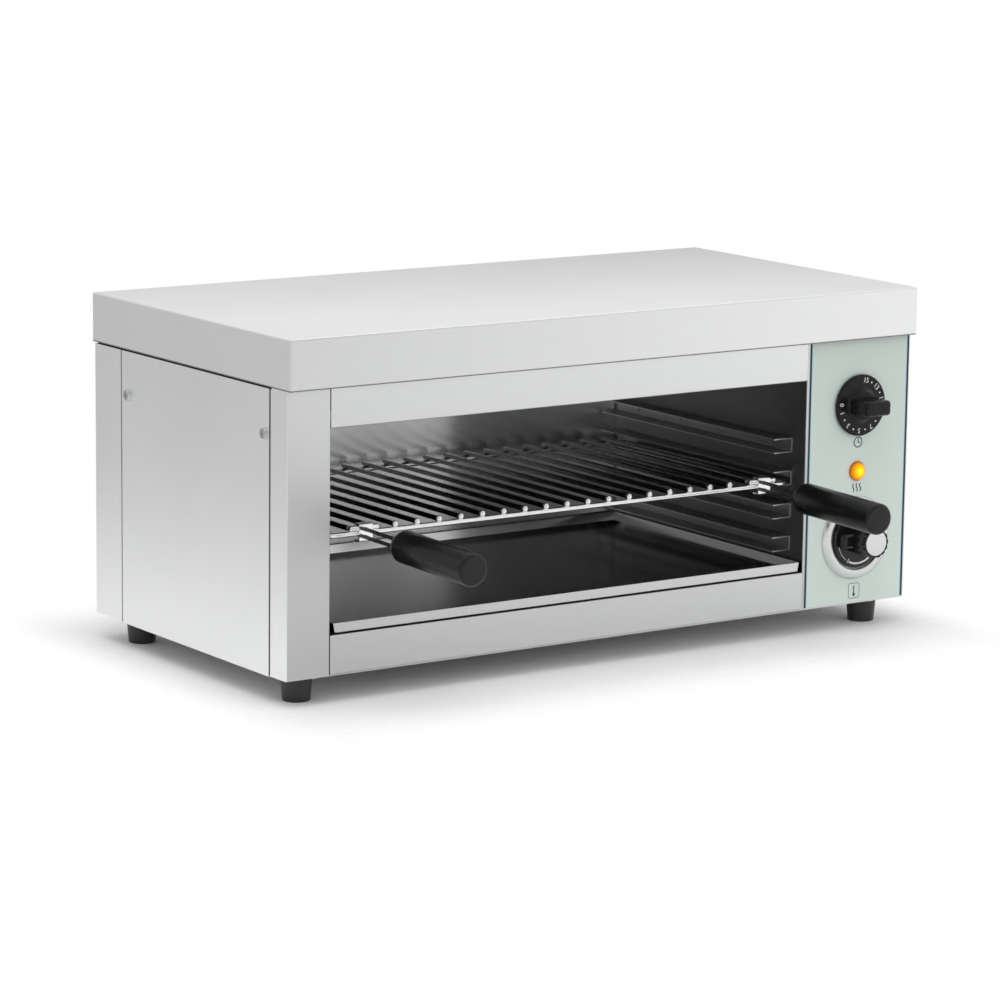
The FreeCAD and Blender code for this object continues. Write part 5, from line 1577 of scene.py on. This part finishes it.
    def build_camera(self) -> None:
        """The camera at the photograph's viewing angle."""
        yaw, pitch, roll = (math.radians(part) for part in (self.yaw, self.pitch, self.roll))
        ahead = Vector((math.sin(yaw) * math.cos(pitch), math.cos(yaw) * math.cos(pitch), -math.sin(pitch)))
        right = Vector((math.cos(yaw), -math.sin(yaw), 0.0))
        down = ahead.cross(right)
        across = right * math.cos(roll) + down * math.sin(roll)
        below = down * math.cos(roll) - right * math.sin(roll)
        data = bpy.data.cameras.new("camera")
        data.sensor_width = self.sensor
        data.lens = self.lens
        data.clip_start, data.clip_end = self.clip
        camera = bpy.data.objects.new("camera", data)
        bpy.context.scene.collection.objects.link(camera)
        turn = Matrix((across, -below, -ahead)).transposed().to_4x4()
        camera.matrix_world = Matrix.Translation(self.place) @ turn
        bpy.context.scene.camera = camera


def name_finishes() -> None:
    """List the finishes by name."""
    lens_low, lens_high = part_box("pilot_lamp_lens")
    film_low, film_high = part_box("panel_film")
    panel_low, panel_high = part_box("side_panel_left")
    middle = (lens_low + lens_high) / 2
    looks = [
        # The satin finishes are one satin stainless, each at the brightness of the light on its faces:
        # painted light and shade.
        Steel("satin_top", "satin_stainless", (0.89, 0.895, 0.90), 0.40, Axis.X, 0.02, 0.015,
              drift=(-0.36, -0.85, 0)),
        Steel("satin_band", "satin_stainless", (0.775, 0.78, 0.785), 0.38, Axis.X, 0.02, 0.015,
              drift=(0.44, 0, 0), seam=241.0, edge=0.6),
        Steel("satin_front", "satin_stainless", (0.70, 0.705, 0.71), 0.38, Axis.X, 0.025, 0.015,
              drift=(0.37, 0, 0.93), edge=0.1),
        Steel("satin_upright", "satin_stainless", (0.715, 0.72, 0.725), 0.48, Axis.Z, 0.025, 0.015,
              drift=(0.37, 0, 0.93), edge=0.35),
        Steel("satin_side", "satin_stainless", (0.85, 0.855, 0.86), 0.36, Axis.Z, 0.02, 0.015,
              drift=(-0.37, -0.1, -0.15), edge=0.0, joints=(panel_low.y / MM, panel_high.y / MM)),
        Steel("satin_flap", "satin_stainless", (0.82, 0.825, 0.83), 0.38, Axis.Y, 0.02, 0.015,
              drift=(-0.37, -0.1, 0), seam=241.0, edge=0.5),
        # The cavity and tray finishes are one cavity steel, each darker or paler for the shade and light
        # where it lies: painted shade and light.
        Steel("cavity_side", "cavity_steel", (0.26, 0.26, 0.265), 0.34, Axis.Y, 0.03, 0.03, 0.03, 0.2,
              brush=0.003, streak=1.0),
        Steel("cavity_roof", "cavity_steel", (0.12, 0.12, 0.12), 0.34, Axis.Y, 0.04, 0.05, 0.05, 0.2),
        Steel("cavity_back", "cavity_steel", (0.75, 0.75, 0.755), 0.20, Axis.X, 0.03, 0.03, 0.03, 0.2,
              brush=0.02, streak=1.0),
        Steel("cavity_floor", "cavity_steel", (0.24, 0.24, 0.245), 0.20, Axis.X, 0.03, 0.03, 0.05, 0.2),
        Steel("cavity_runner", "cavity_steel", (0.48, 0.48, 0.485), 0.36, Axis.Y, 0.005, 0.02, 0.0, 1.0,
              rim=0.6, brush=0.0005, vary=0.02, lift=2.0),
        Steel("cavity_runner_dark", "cavity_steel", (0.20, 0.20, 0.205), 0.34, Axis.Y, 0.01, 0.03, 0.0, 0.1,
              brush=0.0005, vary=0.02),
        Steel("tray_steel", "cavity_steel", (0.23, 0.23, 0.235), 0.14, Axis.X, 0.02, 0.03, 0.02, 0.4,
              brush=0.004, drift=(2.2, 0, 0)),
        Steel("tray_wall", "cavity_steel", (0.55, 0.555, 0.56), 0.14, Axis.X, 0.02, 0.03, 0.0, 0.4,
              brush=0.004, drift=(-1.6, 0, 0)),
        BrightWire("chrome", "chrome_wire", (0.88, 0.885, 0.89), 0.07, 0.92),
        # painted shade: chrome darkened for the bars inside the cavity, with a painted highlight on top
        BrightWire("rack_wire_painted_shade", "chrome_wire", (0.18, 0.185, 0.19), 0.09, 0.7, crown=0.95),
        BrightWire("zinc", "zinc_steel", (0.62, 0.63, 0.64), 0.20),
        BrightWire("silver", "silver_trim", (0.72, 0.725, 0.73), 0.24, 0.98, uneven=0.1, relief=0.002),
        BrightWire("silver_disc", "silver_trim", (0.74, 0.745, 0.75), 0.32, 0.98, uneven=0.1, relief=0.003),
        BrightWire("copper_alloy", "copper_alloy", (0.72, 0.42, 0.24), 0.26),
        Moulded("black_steel", "black_steel", (0.022, 0.022, 0.024), 0.26, 1200.0, 0.01, 0.3),
        Moulded("grip", "black_grip", (0.006, 0.006, 0.0065), 0.28, 1500.0, 0.003, 0.15,
                shine=0.34, blotch=0.25),
        Moulded("knob", "black_knob", (0.008, 0.008, 0.0085), 0.24, 900.0, 0.005, 0.10,
                shine=0.22, blotch=0.4),
        Moulded("knob_glossy", "black_knob", (0.007, 0.007, 0.0075), 0.12, 900.0, 0.003, 0.15,
                shine=0.4, blotch=0.4),
        Moulded("amber_rim", "amber_lens", (0.42, 0.12, 0.01), 0.3, 900.0, 0.006, 0.1),
        Moulded("black_plastic", "black_plastic", (0.028, 0.028, 0.03), 0.5, 1100.0, 0.02, 0.3),
        Moulded("white_plastic", "white_plastic", (0.72, 0.72, 0.69), 0.42, 900.0, 0.02, 0.2),
        Moulded("rubber", "rubber", (0.018, 0.018, 0.019), 0.42, 800.0, 0.03, 0.3),
        Moulded("ceramic", "bushing", (0.76, 0.74, 0.68), 0.3, 700.0, 0.02, 0.2, 0.3),
        Moulded("lead_sleeve", "lead_sleeve", (0.46, 0.44, 0.41), 0.62, 2600.0, 0.05, 0.0),
        Moulded("element_sheath", "element_sheath", (0.055, 0.055, 0.05), 0.48, 1600.0, 0.03, 0.2),
        PrintedFilm("film", "printed_film", film_low.x / MM, film_high.x / MM),
        LitLens("amber", "amber_lens", tuple(middle), (lens_high.x - lens_low.x) / 2),
        Ink("white_ink", "black_knob", (0.80, 0.80, 0.79)),
        Ink("blue_ink", "printed_film", (0.030, 0.085, 0.14)),
        Ink("black_ink", "printed_film", (0.02, 0.025, 0.03)),
    ]
    for look in looks:
        FINISHES[look.name] = look


def main() -> None:
    """Build every sub-assembly, then set the stage."""
    logging.basicConfig(level=logging.INFO, format="%(message)s")
    name_finishes()
    for maker in (Casing, Cavity, DripTray, Rack, TimerControl, ThermostatControl, ControlPanel, Studio):
        LOG.info("building %s", maker.__name__)
        maker().build()


if __name__ == "__main__":
    main()
